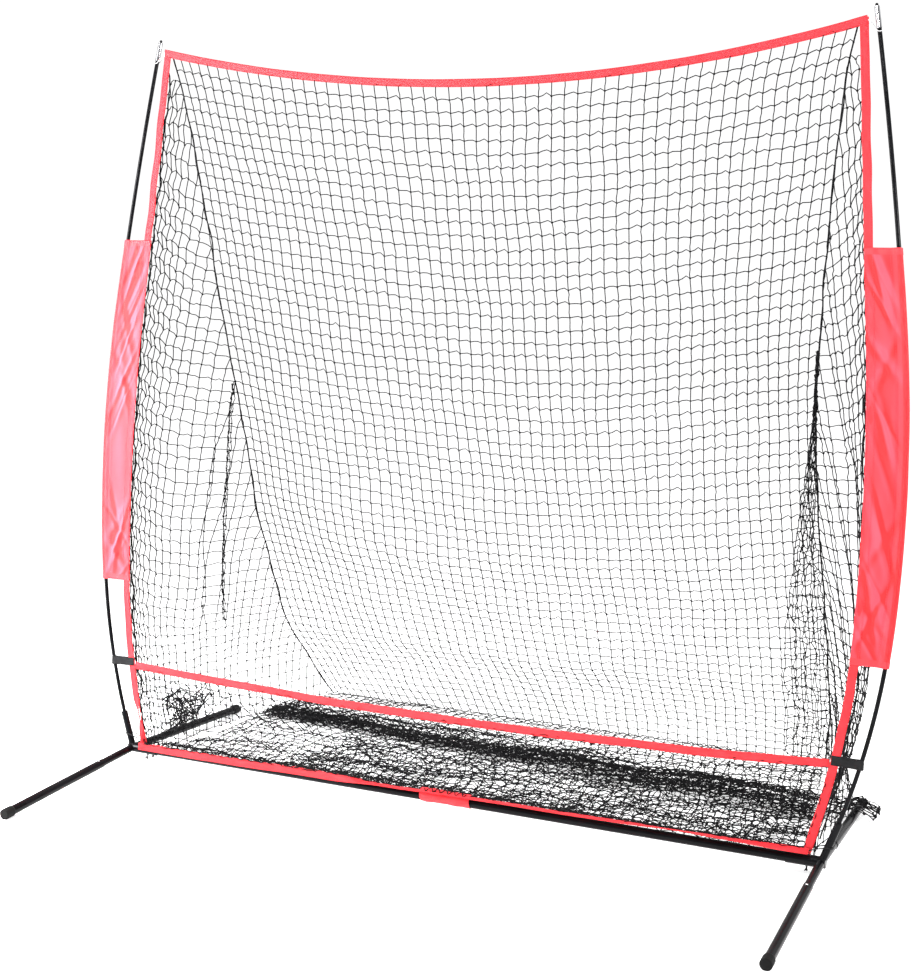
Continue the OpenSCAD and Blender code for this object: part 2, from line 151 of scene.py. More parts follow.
def edge_u_at_w(w):
    return np.interp(w, EDGE_W, EDGE_U)


def arc_y(x, half, sag):
    r = (half * half + sag * sag) / (2 * sag)
    return r - sag - np.sqrt(np.maximum(r * r - np.asarray(x, float) ** 2, 0))


TOP_U = EDGE_U[-1] - BAND_W / 2
TOP_W = EDGE_W[-1] - BAND_W / 2
TOP_FALL = math.hypot(TOP_SAG, TOP_BACK)
TOP_TIP = math.atan2(TOP_BACK, TOP_SAG) + LEAN
LIP_S = LIP_H / math.cos(math.radians(ROD_ANGLE))
LIP_HALF = float(edge_at(LIP_S)[0]) - BAND_W / 2 - AIR - 0.006
BOTTOM_HALF = float(edge_at(EDGE_LOW)[0])


def top_band_at(x, v):
    """A point of the top band's sheet, v up from its middle line."""
    fall = arc_y(x, TOP_U, TOP_FALL) + v
    return in_frame(x, TOP_W + fall * math.cos(TOP_TIP), fall * math.sin(TOP_TIP))


def lip_w(x):
    return LIP_H + arc_y(np.clip(x, -LIP_HALF, LIP_HALF), LIP_HALF, LIP_SAG)


def bottom_w(x):
    t = (np.asarray(x, float) / BOTTOM_HALF + 1) / 2
    return BAND_LEFT + (BAND_RIGHT - BAND_LEFT) * t


def smooth(x, a, b):
    """0 below a, 1 above b and an even slope between them."""
    t = np.clip((np.asarray(x, float) - a) / (b - a), 0, 1)
    return t * t * (3 - 2 * t)


def bottom_twist(x):
    """How far the bottom band turns from upright towards lying flat."""
    x = np.asarray(x, float)
    ends = 0.45 * smooth(x, 0.80, 0.95) - 0.32 * np.exp(-((x - 0.66) / 0.07) ** 2)
    return -1.5 * smooth(x, -0.42, -0.18) + ends


def bottom_edge(x):
    """The bottom band's upper or rear edge, where the net is sewn on: height and front offset."""
    turn = bottom_twist(x)
    return bottom_w(x) + 0.0095 * np.cos(turn), BAND_OUT + 0.0095 * np.sin(turn)


# ---------------------------------------------------------------- small tools


def wobble(a, b, seed, waves=5, low=0.6, high=1.8):
    """Smooth noise from -1 to 1 over two coordinates, made of a few waves."""
    rng = np.random.default_rng(seed)
    a, b = np.broadcast_arrays(np.asarray(a, float), np.asarray(b, float))
    total = np.zeros(a.shape)
    for _ in range(waves):
        turn = rng.uniform(0, 2 * math.pi)
        f = rng.uniform(low, high)
        across = a * math.cos(turn) + b * math.sin(turn)
        total += np.sin(2 * math.pi * f * across + rng.uniform(0, 6.3))
    return total / waves * 1.6


def unit(v):
    return v / np.maximum(np.linalg.norm(v, axis=-1, keepdims=True), 1e-12)


def mesh_object(name, verts, faces, mat, replaced=()):
    """A piece of the frame from arrays: verts (n, 3) and a list of face arrays of equal-sided faces."""
    if name in NODES:
        name += "_built"
    mesh = bpy.data.meshes.new(name)
    verts = np.asarray(verts, np.float32)
    groups = [np.asarray(f, np.int32) for f in faces if len(f)]
    loops = np.concatenate([g.ravel() for g in groups])
    sizes = np.concatenate([np.full(len(g), g.shape[1], np.int32) for g in groups])
    starts = np.concatenate([[0], np.cumsum(sizes)[:-1]]).astype(np.int32)
    mesh.vertices.add(len(verts))
    mesh.vertices.foreach_set("co", verts.ravel())
    mesh.loops.add(len(loops))
    mesh.loops.foreach_set("vertex_index", loops)
    mesh.polygons.add(len(sizes))
    mesh.polygons.foreach_set("loop_start", starts)
    mesh.polygons.foreach_set("loop_total", sizes)
    mesh.polygons.foreach_set("use_smooth", np.ones(len(sizes), bool))
    mesh.update(calc_edges=True)
    mesh.validate()
    mesh.materials.append(MATS[mat])
    obj = bpy.data.objects.new(name, mesh)
    scene.collection.objects.link(obj)
    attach(obj, "frame")
    if replaced:
        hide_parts(*replaced)
    return obj


def tubes(paths, radius, sides=4):
    """Open tubes along many paths at once: paths (count, points, 3), radius a number or (points,)."""
    paths = np.asarray(paths, float)
    count, points = paths.shape[:2]
    along = unit(np.gradient(paths, axis=1))
    ref = np.where(np.abs(along[:, :1, 2:3]) > 0.8, [[[1.0, 0.2, 0]]], [[[0, 0.15, 1.0]]])
    side = unit(np.cross(along, ref))
    over = np.cross(along, side)
    turns = np.arange(sides) * 2 * math.pi / sides + 0.4
    radius = np.broadcast_to(np.asarray(radius, float), (points,))[None, :, None, None]
    ring = (side[:, :, None] * np.cos(turns)[None, None, :, None]
            + over[:, :, None] * np.sin(turns)[None, None, :, None])
    verts = paths[:, :, None] + ring * radius
    base = np.arange(count)[:, None, None] * points * sides
    row = np.arange(points - 1)[None, :, None] * sides
    k = np.arange(sides)[None, None, :]
    nxt = (k + 1) % sides
    low, high = base + row, base + row + sides
    quads = np.stack([low + k, low + nxt, high + nxt, high + k], -1)
    return verts.reshape(-1, 3), quads.reshape(-1, 4)


def join(parts):
    """Several (verts, faces) with the same face size as one."""
    verts, faces, at = [], [], 0
    for v, f in parts:
        verts.append(v)
        faces.append(f + at)
        at += len(v)
    return np.concatenate(verts), np.concatenate(faces)


PHI = (1 + 5 ** 0.5) / 2
ICO = unit(np.array([(-1, PHI, 0), (1, PHI, 0), (-1, -PHI, 0), (1, -PHI, 0), (0, -1, PHI), (0, 1, PHI),
                     (0, -1, -PHI), (0, 1, -PHI), (PHI, 0, -1), (PHI, 0, 1), (-PHI, 0, -1), (-PHI, 0, 1)]))
ICO_F = np.array([(0, 11, 5), (0, 5, 1), (0, 1, 7), (0, 7, 10), (0, 10, 11), (1, 5, 9), (5, 11, 4),
                  (11, 10, 2), (10, 7, 6), (7, 1, 8), (3, 9, 4), (3, 4, 2), (3, 2, 6), (3, 6, 8),
                  (3, 8, 9), (4, 9, 5), (2, 4, 11), (6, 2, 10), (8, 6, 7), (9, 8, 1)])


def blobs(points, size, seed):
    """Small uneven knots at the points."""
    rng = np.random.default_rng(seed)
    points = np.asarray(points, float).reshape(-1, 3)
    scale = size * rng.uniform(0.75, 1.2, (len(points), 1, 3))
    verts = points[:, None] + ICO[None] * scale
    faces = ICO_F[None] + np.arange(len(points))[:, None, None] * len(ICO)
    return verts.reshape(-1, 3), faces.reshape(-1, 3)


def grid_quads(rows, cols, closed=False):
    """Faces between the points of a grid, with each row closed into a ring if asked."""
    i = np.arange(rows - 1)[:, None] * cols
    j = np.arange(cols if closed else cols - 1)[None]
    nxt = (j + 1) % cols
    return np.stack([i + j, i + nxt, i + cols + nxt, i + cols + j], -1).reshape(-1, 4)


def lengths(points):
    """Distance along a line at each of its points."""
    return np.concatenate([[0], np.cumsum(np.linalg.norm(np.diff(points, axis=0), axis=1))])


def sample(at, where, values):
    """Rows of values, known at the distances where, interpolated at the distances at."""
    return np.stack([np.interp(at, where, values[:, i]) for i in range(values.shape[1])], -1)


def polyline(points, step=None, count=None):
    """A polyline resampled evenly by length."""
    points = np.asarray(points, float)
    d = lengths(points)
    n = count or max(2, int(round(d[-1] / step)) + 1)
    return sample(np.linspace(0, d[-1], n), d, points)


def rounded(points, times=2):
    """Corner-cutting, which keeps both ends."""
    points = np.asarray(points, float)
    for _ in range(times):
        cut = np.empty((2 * len(points) - 2,) + points.shape[1:])
        cut[0::2] = points[:-1] * 0.75 + points[1:] * 0.25
        cut[1::2] = points[:-1] * 0.25 + points[1:] * 0.75
        points = np.concatenate([points[:1], cut, points[-1:]])
    return points


# ---------------------------------------------------------------- materials


def two_tone(nodes, dark, light):
    """A colour ramp between two (colour, position) pairs."""
    ramp = nodes.new("ShaderNodeValToRGB")
    for stop, (color, position) in zip(ramp.color_ramp.elements, (dark, light)):
        stop.color = (*color, 1)
        stop.position = position
    return ramp


def material(name, color, rough, vary=0.0, vary_scale=8.0, metallic=0.0, coat=0.0, sheen=0.0,
             rough_vary=0.0, rough_scale=30.0, bumps=(), specular=0.5, sheen_tint=None):
    """A procedural material. bumps is a list of (kind, scale, height, stretch)."""
    m = bpy.data.materials.new(name)
    m.use_nodes = True
    tree = m.node_tree
    nodes, links = tree.nodes, tree.links
    bsdf = nodes["Principled BSDF"]
    bsdf.inputs["Metallic"].default_value = metallic
    bsdf.inputs["Specular IOR Level"].default_value = specular
    bsdf.inputs["Coat Weight"].default_value = coat
    bsdf.inputs["Coat Roughness"].default_value = 0.12
    bsdf.inputs["Sheen Weight"].default_value = sheen
    bsdf.inputs["Sheen Roughness"].default_value = 0.4
    if sheen_tint:
        bsdf.inputs["Sheen Tint"].default_value = (*sheen_tint, 1)
    place = nodes.new("ShaderNodeTexCoord")

    def texture(kind, scale, stretch):
        mapping = nodes.new("ShaderNodeMapping")
        mapping.inputs["Scale"].default_value = stretch
        links.new(place.outputs["Object"], mapping.inputs["Vector"])
        n = nodes.new(kind)
        n.inputs["Scale"].default_value = scale
        links.new(mapping.outputs["Vector"], n.inputs["Vector"])
        return n

    def noise(scale, detail=4.0, stretch=(1, 1, 1)):
        n = texture("ShaderNodeTexNoise", scale, stretch)
        n.inputs["Detail"].default_value = detail
        return n.outputs["Fac"]

    def wave(scale, stretch=(1, 1, 1), direction="X", distort=0.0):
        n = texture("ShaderNodeTexWave", scale, stretch)
        n.bands_direction = direction
        n.inputs["Distortion"].default_value = distort
        return n.outputs["Fac"]

    dark = tuple(c * (1 - vary) for c in color)
    light = tuple(min(1, c * (1 + vary * 0.6) + vary * 0.004) for c in color)
    ramp = two_tone(nodes, (dark, 0.32), (light, 0.68))
    links.new(noise(vary_scale), ramp.inputs["Fac"])
    links.new(ramp.outputs["Color"], bsdf.inputs["Base Color"])
    spread = nodes.new("ShaderNodeMapRange")
    spread.inputs["To Min"].default_value = max(0.02, rough - rough_vary)
    spread.inputs["To Max"].default_value = min(1, rough + rough_vary)
    links.new(noise(rough_scale, 3), spread.inputs["Value"])
    links.new(spread.outputs["Result"], bsdf.inputs["Roughness"])
    last = None
    for kind, scale, height, stretch in bumps:
        bump = nodes.new("ShaderNodeBump")
        bump.inputs["Distance"].default_value = height
        bump.inputs["Strength"].default_value = 0.8
        if kind == "noise":
            out = noise(scale, 5, stretch)
        elif kind == "weave":
            both = nodes.new("ShaderNodeMath")
            both.operation = "MULTIPLY"
            links.new(wave(scale, stretch, "X"), both.inputs[0])
            links.new(wave(scale, stretch, "Z"), both.inputs[1])
            out = both.outputs["Value"]
        else:
            out = wave(scale, stretch, "DIAGONAL" if kind == "twist" else kind, 0.4)
        links.new(out, bump.inputs["Height"])
        if last:
            links.new(last, bump.inputs["Normal"])
        last = bump.outputs["Normal"]
    if last:
        links.new(last, bsdf.inputs["Normal"])
    return m


def paint_crease_shading(m, dark, light):
    """Paints shade and highlight of the creases into the colour: the slope of the creases, kept with the
    mesh, mixes the colour between a painted shaded tone and a painted lit tone.
    """
    nodes, links = m.node_tree.nodes, m.node_tree.links
    bsdf = nodes["Principled BSDF"]
    painted_crease_shade = nodes.new("ShaderNodeAttribute")
    painted_crease_shade.attribute_name = "fold"
    old = bsdf.inputs["Base Color"].links[0].from_socket
    painted_tones = two_tone(nodes, (dark, 0.1), (light, 0.9))
    links.new(painted_crease_shade.outputs["Fac"], painted_tones.inputs["Fac"])
    mix = nodes.new("ShaderNodeMixRGB")
    mix.inputs["Fac"].default_value = 0.8
    links.new(old, mix.inputs["Color1"])
    links.new(painted_tones.outputs["Color"], mix.inputs["Color2"])
    links.new(mix.outputs["Color"], bsdf.inputs["Base Color"])
    return m


EVEN = (1, 1, 1)
RED = (0.88, 0.014, 0.026)
PINK_SHEEN = (1, 0.5, 0.55)
MATS = {
    "black_tube": material("black_tube", (0.004, 0.004, 0.005), 0.15, vary=0.3, vary_scale=14,
                           rough_vary=0.04, rough_scale=40, specular=0.09,
                           bumps=[("noise", 900, 0.0001, EVEN)]),
    "plain_steel": material("plain_steel", (0.56, 0.56, 0.57), 0.34, vary=0.2, vary_scale=60, metallic=1,
                            rough_vary=0.1, bumps=[("noise", 260, 0.0003, (0.1, 1, 1))]),
    "foot_rubber": material("foot_rubber", (0.006, 0.006, 0.006), 0.72, specular=0.14, vary=0.4,
                            vary_scale=30, rough_vary=0.12,
                            bumps=[("noise", 700, 0.0006, EVEN), ("noise", 60, 0.0008, EVEN)]),
    "button_metal": material("button_metal", (0.86, 0.86, 0.87), 0.16, vary=0.1, vary_scale=200, metallic=1,
                             rough_vary=0.06, bumps=[("noise", 500, 0.0002, EVEN)]),
    "black_rod": material("black_rod", (0.004, 0.004, 0.005), 0.18, vary=0.4, vary_scale=20,
                          rough_vary=0.05, rough_scale=60, specular=0.08,
                          bumps=[("noise", 260, 0.0001, (1, 1, 0.06))]),
    "bright_metal": material("bright_metal", (0.50, 0.50, 0.52), 0.2, vary=0.15, vary_scale=70, metallic=1,
                             rough_vary=0.08, bumps=[("noise", 300, 0.0003, (1, 1, 0.15))]),
    "black_cord": material("black_cord", (0.007, 0.007, 0.008), 0.62, vary=0.5, vary_scale=300,
                           rough_vary=0.1, specular=0.2, bumps=[("twist", 130, 0.0006, EVEN)]),
    "grey_cord": material("grey_cord", (0.62, 0.62, 0.63), 0.6, vary=0.2, vary_scale=260, sheen=0.15,
                          rough_vary=0.1, bumps=[("twist", 150, 0.0005, EVEN)]),
    "red_fabric": material("red_fabric", RED, 0.42, vary=0.2, vary_scale=7, sheen=0.08,
                           sheen_tint=PINK_SHEEN, rough_vary=0.09, rough_scale=12,
                           bumps=[("weave", 300, 0.0004, EVEN), ("noise", 26, 0.003, (1, 1, 0.45))]),
    "red_webbing": material("red_webbing", (0.86, 0.016, 0.026), 0.5, specular=0.35, vary=0.16,
                            vary_scale=22, sheen=0.1, sheen_tint=PINK_SHEEN, rough_vary=0.08,
                            bumps=[("weave", 210, 0.0006, EVEN), ("noise", 90, 0.0008, EVEN)]),
    "red_thread": material("red_thread", (0.62, 0.010, 0.026), 0.55, vary=0.2, vary_scale=120, sheen=0.2,
                           bumps=[("twist", 400, 0.0002, EVEN)]),
    "black_webbing": material("black_webbing", (0.007, 0.007, 0.008), 0.66, vary=0.4, vary_scale=60,
                              rough_vary=0.08, specular=0.2, bumps=[("weave", 190, 0.0008, EVEN)]),
    "net_cord": material("net_cord", (0.003, 0.003, 0.004), 0.65, vary=0.5, vary_scale=80,
                         rough_vary=0.1, specular=0.12, bumps=[("twist", 160, 0.0005, EVEN)]),
}

# the panel's red carries painted crease shading: (0.86, 0.002, 0.004) is the painted shaded red, (0.93,
# 0.075, 0.115) the painted lit red
MATS["red_panel"] = paint_crease_shading(material("red_panel", RED, 0.45, vary=0.2, vary_scale=7, rough_vary=0.09,
                                   rough_scale=12, specular=0.35, bumps=[("weave", 300, 0.0004, EVEN)]),
                          (0.86, 0.002, 0.004), (0.93, 0.075, 0.115))

for row in frame["record"]["subparts"]:
    cad = NODES[row["node"]]
    finish = MATS[row["material_slot"]]
    if not cad.material_slots:
        cad.data.materials.append(finish)
    for slot in cad.material_slots:
        slot.material = finish

# ---------------------------------------------------------------- net

PITCH = 0.038
STRAND_R = 0.0014
KNOT_R = 0.0032
COLS = 57
SEAM = np.array([
    # height, half width, distance back from the bar: a program solved these from the photo,
    # they were not chosen by hand
    (0.004, 0.862, 0.935), (0.10, 0.882, 0.862), (0.20, 0.899, 0.785), (0.30, 0.907, 0.697),
    (0.40, 0.910, 0.644), (0.50, 0.909, 0.599), (0.60, 0.908, 0.551), (0.70, 0.906, 0.502),
    (0.80, 0.902, 0.465), (0.90, 0.898, 0.433), (1.00, 0.898, 0.402), (1.10, 0.899, 0.370),
    (1.20, 0.901, 0.339), (1.30, 0.907, 0.315), (1.40, 0.915, 0.295), (1.50, 0.922, 0.276),
    (1.60, 0.928, 0.257), (1.70, 0.938, 0.242), (1.80, 0.947, 0.224), (1.90, 0.957, 0.205),
    (2.00, 0.969, 0.186),
])
corner = top_band_at(TOP_U - 0.004, -BAND_W / 2)
SEAM = np.concatenate([SEAM, [[corner[2], corner[0], corner[1] - BAR_Y]]])


def seam_at(z):
    return np.interp(z, SEAM[:, 0], SEAM[:, 1]), np.interp(z, SEAM[:, 0], SEAM[:, 2])


def spread(u, gather):
    """Columns packed closer towards both ends."""
    return u * (1 + gather) - gather * u ** 5


def strand_paths(a, b, rng, lift, drift, skew=0.35):
    """Two inner points between the knots a and b, lifted by a slack strand's curve."""
    a, b = a.reshape(-1, 3), b.reshape(-1, 3)
    size = rng.uniform(0.35, 1.35, (len(a), 1))
    p1 = a * 2 / 3 + b / 3 + lift * size * (1 - skew) + rng.normal(0, drift, a.shape)
    p2 = a / 3 + b * 2 / 3 + lift * size * (1 + skew) + rng.normal(0, drift, a.shape)
    return np.stack([a, p1, p2, b], 1)


def net_piece(name, rows_paths, knots, replaced, seed):
    paths = np.concatenate(rows_paths)
    paths[..., 2] = np.maximum(paths[..., 2], STRAND_R + 0.0006)
    v, f = tubes(paths, STRAND_R, 4)
    mesh_object(name, v, [f], "net_cord", replaced=replaced)
    knots = np.asarray(knots).reshape(-1, 3).copy()
    knots[:, 2] = np.maximum(knots[:, 2], KNOT_R)
    kv, kf = blobs(knots, KNOT_R, seed)
    mesh_object(name + "_knots", kv, [kf], "net_cord")


def grid_paths(grid, seed, lift=(0, 0, 0.0048), drift=0.0007, across_drift=0.0009):
    """Strands along both directions of a (rows, cols, 3) grid."""
    rng = np.random.default_rng(seed)
    across = strand_paths(grid[:, :-1], grid[:, 1:], rng, np.array(lift), across_drift)
    down = strand_paths(grid[:-1], grid[1:], rng, np.array([0, 0, 0.0]), drift)
    return [across, down]


def back_grid():
    path = np.stack([SEAM[:, 1], SEAM[:, 2], SEAM[:, 0]], -1)
    side = polyline(path, step=PITCH)
    rows = len(side)
    v = np.linspace(0, 1, rows)[:, None]
    u = np.linspace(-1, 1, COLS)[None]
    x = side[:, 0][:, None] * spread(u, 0.07)
    top = top_band_at(x[-1], -BAND_W / 2 + 0.002)
    drop = (side[-1, 2] - top[:, 2])[None]
    behind = (top[:, 1] - BAR_Y - side[-1, 1])[None]
    y = side[:, 1][:, None] + behind * smooth(v, 0.35, 1)
    z = side[:, 2][:, None] - drop * smooth(v, 0.0, 0.45)
    free = smooth(v, 0, 0.06) * (1 - smooth(v, 0.93, 1)) * (1 - np.abs(u) ** 6)
    inner = 1 - np.abs(u) ** 4
    x = x + free * (0.007 * wobble(x, z, 11) + 0.003 * wobble(x, z, 12, low=3, high=6))
    z2 = z + free * (0.007 * wobble(x, z, 13) + 0.003 * wobble(x, z, 14, low=3, high=7))
    y = y + free * 0.018 * wobble(x, z, 15) + inner * 0.045 * np.sin(math.pi * np.clip(v, 0, 1)) ** 1.5
    low = 1 - smooth(z, 0.05, 0.45)
    y = y + low * free * 0.012 * wobble(x, z, 16, low=3, high=6)
    z2 = np.maximum(z2, 0.004)
    grid = np.stack([x, y + BAR_Y, z2], -1)
    grid[-1] = top
    return grid


def row_drop(z):
    """How far a row of the side pieces falls from the trim to the seam."""
    return 0.105 * smooth(z, 0.12, 0.6) * (1 - smooth(z, 1.7, 1.98))


def side_rows(sign):
    """Rows of knots from the side trim to the seam; each row is shorter than the one below."""
    left = sign < 0
    tight = 0.30 if left else 0.55
    steps = [0.0]
    while steps[-1] < 1.3:
        share = tight + (0.93 - tight) * float(smooth(steps[-1], 0, 0.17))
        steps.append(steps[-1] + PITCH * share)
    steps = np.array(steps)
    heights = np.arange(0.012, 2.03, PITCH * 0.98)
    rows = []
    for j, z in enumerate(heights):
        w = (z - BAR_Z) / math.cos(LEAN)
        tu = edge_u_at_w(max(w, EDGE_W[0])) - 0.002
        ty = w * math.sin(LEAN) + 0.004
        drop = float(row_drop(z))
        sx, sy = seam_at(z - drop)
        row = np.array([sx - tu, sy - ty])
        length = np.linalg.norm(row)
        d = np.append(steps[steps < max(length - 0.010, 0.001)], length)
        t = d / length
        out = np.array([row[1], -row[0]]) / length
        hang = np.sin(math.pi * t) ** 0.8 * smooth(length, 0.04, 0.4)
        fold = (0.006 * np.sin(d * 2 * math.pi / 0.15 + 3 * wobble(0, z * 0.7, 21 + left))
                + 0.009 * wobble(d * 1.6, z * 0.6, 23 + left, low=1, high=2.6)) * hang
        belly = 0.030 * hang * (1 - smooth(z, 0.9, 1.8))
        slide = 0.007 * wobble(d, z, 25 + left, low=2, high=4) * hang
        # the mesh is pulled askew near the trim, so its cells look like diamonds
        askew = (np.exp(-(d / 0.13) ** 2) + 0.15) * np.minimum(d / 0.02, 1) * (t < 0.999)
        checker = (-1.0) ** (np.arange(len(d)) + j)
        slide = slide + 0.0035 * askew * (-1.0) ** j
        sag = drop * (1 - np.exp(-d / 0.13)) / (1 - math.exp(-length / 0.13))
        if left:
            # a pleat that hangs straight down, so the net lies double beside it
            pleat = 0.372 - ty
            near = np.exp(-((d - pleat) / 0.045) ** 2)
            near = near * smooth(z, 0.40, 0.52) * (1 - smooth(z, 1.0, 1.15))
            slide = slide - 0.030 * near * np.sin((d - pleat) * 2 * math.pi / 0.10)
            fold = fold + 0.012 * near
        else:
            rear = smooth(t, 0.3, 0.7) * (1 - smooth(t, 0.95, 1)) * (1 - smooth(z, 1.2, 1.9))
            turn = d * 2 * math.pi / 0.10 + 2 * wobble(0, z, 27)
            slide = slide - 0.008 * rear * np.sin(turn)
            fold = fold + 0.006 * rear * np.cos(turn)
        x = tu + row[0] * t + out[0] * (fold + belly) + row[0] / length * slide
        y = ty + row[1] * t + out[1] * (fold + belly) + row[1] / length * slide
        rough = 0.007 * wobble(d * 2, z, 29 + left) + 0.004 * wobble(d, z, 31 + left, low=4, high=8)
        zz = z - sag + 0.0055 * askew * checker + hang * rough
        if not left:
            bulge = np.exp(-((t - 0.16) / 0.15) ** 2) * smooth(z, 0.12, 0.30)
            x = x + 0.030 * bulge * (1 - smooth(z, 0.55, 0.85)) * (t > 0)
            # low on the right the netting is pulled out by the heap beside the rear leg
            x = x + 0.062 * np.exp(-((y - 0.40) / 0.15) ** 2) * (1 - smooth(z, 0.05, 0.24))
        knots = np.stack([sign * x, y + BAR_Y, np.maximum(zz, 0.004)], -1)
        rows.append((z, length, d, knots))
    return rows


def side_net(sign, name):
    rows = side_rows(sign)
    rng = np.random.default_rng(41 + sign)
    paths, knots = [], []
    for z, length, d, pts in rows:
        paths.append(strand_paths(pts[:-1], pts[1:], rng, np.array([0, 0, 0.003]), 0.0012))
        knots.append(pts[1:-1])
    for (z0, l0, d0, p0), (z1, l1, d1, p1) in zip(rows[:-1], rows[1:]):
        both = min(len(d0), len(d1)) - 1
        ends0, ends1 = [p0[k] for k in range(both)], [p1[k] for k in range(both)]
        for k in range(both, len(d0) - 1):
            share = (l0 - d0[k]) / max(l0 - l1, 1e-6)
            z = z0 + (z1 - z0) * min(max(share, 0), 1)
            z = z - float(row_drop(z))
            sx, sy = seam_at(z)
            ends0.append(p0[k])
            ends1.append(np.array([sign * sx, sy + BAR_Y, z]))
        ends0, ends1 = np.array(ends0[1:]), np.array(ends1[1:])
        paths.append(strand_paths(ends0, ends1, rng, np.zeros(3), 0.0012))
    net_piece(name, paths, np.concatenate(knots), [name], 51)


def ridge_y(x):
    """Where the spare netting lies folded on the floor, behind the lip."""
    return 0.54 - 0.09 * np.clip(x, -1, 1) + 0.015 * wobble(x, 0, 61)


def floor_side(y):
    return 0.985 - 0.123 * np.clip(y / 0.93, 0, 1)


def floor_grid():
    cols = []
    rows = 44
    for u in np.linspace(-1, 1, COLS):
        x = 0.97 * u
        we, ne = (float(q) for q in bottom_edge(x))
        zb = BAR_Z + we
        r = float(ridge_y(x))
        h = 0.040 + 0.016 * float(wobble(x, 0, 62, low=1, high=3))
        wide = 0.075 + 0.02 * float(wobble(x, 0, 63, low=1, high=2))
        bump = 0.016 * float(wobble(x, 0.2, 64, low=1, high=3)) + 0.016
        over_bar = BAR_Z + BAR_R + 0.003
        line = [(-ne, max(zb, over_bar)), (0.012, max(zb - 0.002, over_bar)),
                (0.040, 0.050), (0.085, 0.034), (0.13, 0.010), (0.19, 0.006 + bump), (0.27, 0.006),
                (r - 0.13, 0.008 + bump), (r - 0.03, 0.006), (r + wide, 0.010),
                (r + wide * 0.9, h * 0.5), (r - wide, h * 0.55), (r - wide * 0.9, h),
                (r + wide * 0.6, h * 1.05), (r + wide + 0.03, 0.008),
                (r + 0.18, 0.006 + bump * 0.6), (0.83, 0.006), (0.935, 0.005)]
        line = polyline(rounded(line, 2), count=rows)
        cols.append(np.concatenate([np.full((rows, 1), u), line], 1))
    g = np.stack(cols, 1)
    u, y, z = g[..., 0], g[..., 1], g[..., 2]
    x = floor_side(y) * spread(u, 0.03)
    j = np.arange(rows)[:, None]
    free = smooth(j, 1, 5) * (1 - smooth(j, rows - 3, rows - 1))
    slack = 0.016 * wobble(u, y, 65, low=1.5, high=4) + 0.007 * wobble(u, y, 66, low=5, high=9)
    x = x + free * slack * (1 - np.abs(u) ** 8)
    slack = 0.016 * wobble(u, y * 2, 67, low=1.5, high=4) + 0.006 * wobble(u * 2, y, 68, low=5, high=9)
    y = y + free * slack
    z = z + free * (0.009 * np.abs(wobble(u * 2, y * 3, 69, low=1, high=3)))
    y = np.where(z < BAR_Z + BAR_R, np.maximum(y, BAR_R + 0.006), y)
    y = np.where(z < 0.030, np.maximum(y, 0.095), y)
    return np.stack([x, y + BAR_Y, np.maximum(z, 0.004)], -1)


def spare_grid():
    """The ridge of spare netting, folded to and fro over itself, out over the right rear leg."""
    rng = np.random.default_rng(181)
    folds, count = 3, 56
    rows = folds * 6 + 1
    a = np.linspace(-0.93, 1.092, count)[None]
    b = np.linspace(0, 1, rows)[:, None]
    zig = np.abs((b * folds) % 2 - 1) * 2 - 1
    right = smooth(a, -0.5, 0.9)
    wide = 0.050 + 0.010 * right + 0.012 * wobble(a, b, 182, low=1, high=2.5)
    high = (0.014 + 0.050 * right) * (1 + 0.3 * wobble(a, 0, 183, low=1, high=3))
    high = high * (1 - 0.45 * smooth(a, 0.98, 1.09))
    tail = smooth(a, 1.0, 1.09)
    x = a + 0.020 * wobble(a * 2, b * 3, 184, low=1, high=3) * (1 - tail)
    x = x + rng.normal(0, 0.004, (rows, count))
    y = ridge_y(a) + zig * wide * (1 - 0.4 * tail) + 0.05 * smooth(a, 0.95, 1.09)
    y = y + rng.normal(0, 0.006, (rows, count))
    z = 0.006 + high * b * (1 - 0.5 * np.abs(zig)) + np.abs(rng.normal(0, 0.005, (rows, count)))
    over_leg = np.exp(-((x - 1.038) / 0.030) ** 4)
    z = np.maximum(z, 0.005 + 0.044 * over_leg)
    return np.stack([x, y + BAR_Y, z], -1)


def loose_grid():
    """A second loose layer on the floor between the lip and the ridge."""
    rng = np.random.default_rng(191)
    rows, cols, half = 17, 50, 0.955
    u = np.linspace(-0.62, 1, cols)[None]
    t = np.linspace(0, 1, rows)[:, None]
    y = np.maximum(0.105, 0.10 + 0.35 * t) + 0.020 * wobble(u * 2, t, 192, low=1, high=3)
    y = y + rng.normal(0, 0.0035, (rows, cols))
    x = half * spread(u, 0.04) * floor_side(y) / 0.985
    x = x + 0.022 * wobble(u, t * 2, 193, low=1, high=3) + 0.05 * t
    x = np.minimum(x, half) + rng.normal(0, 0.003, x.shape)
    z = 0.008 + 0.018 * np.abs(wobble(u * 3, t * 3, 194, low=1, high=3))
    z = z + np.abs(rng.normal(0, 0.004, x.shape))
    return np.stack([x, y + BAR_Y, z], -1)


def bunch_grid(seed, at, size, cols=14, rows=16, turns=3):
    """A small tangle of netting round a point."""
    rng = np.random.default_rng(seed)
    a = np.linspace(0, 1, cols)[None]
    b = np.linspace(0, 1, rows)[:, None]
    spot = np.stack([np.sin(a * math.pi * turns + 4 * b), np.cos(b * math.pi * turns + 3 * a),
                     np.sin(a * 2.6 * turns - b * 5.1)], -1) * np.array(size) * 0.8
    spot = spot + rng.normal(0, 0.25, spot.shape) * np.array(size) + np.array(at)
    spot[..., 2] = np.maximum(spot[..., 2], 0.005)
    return spot


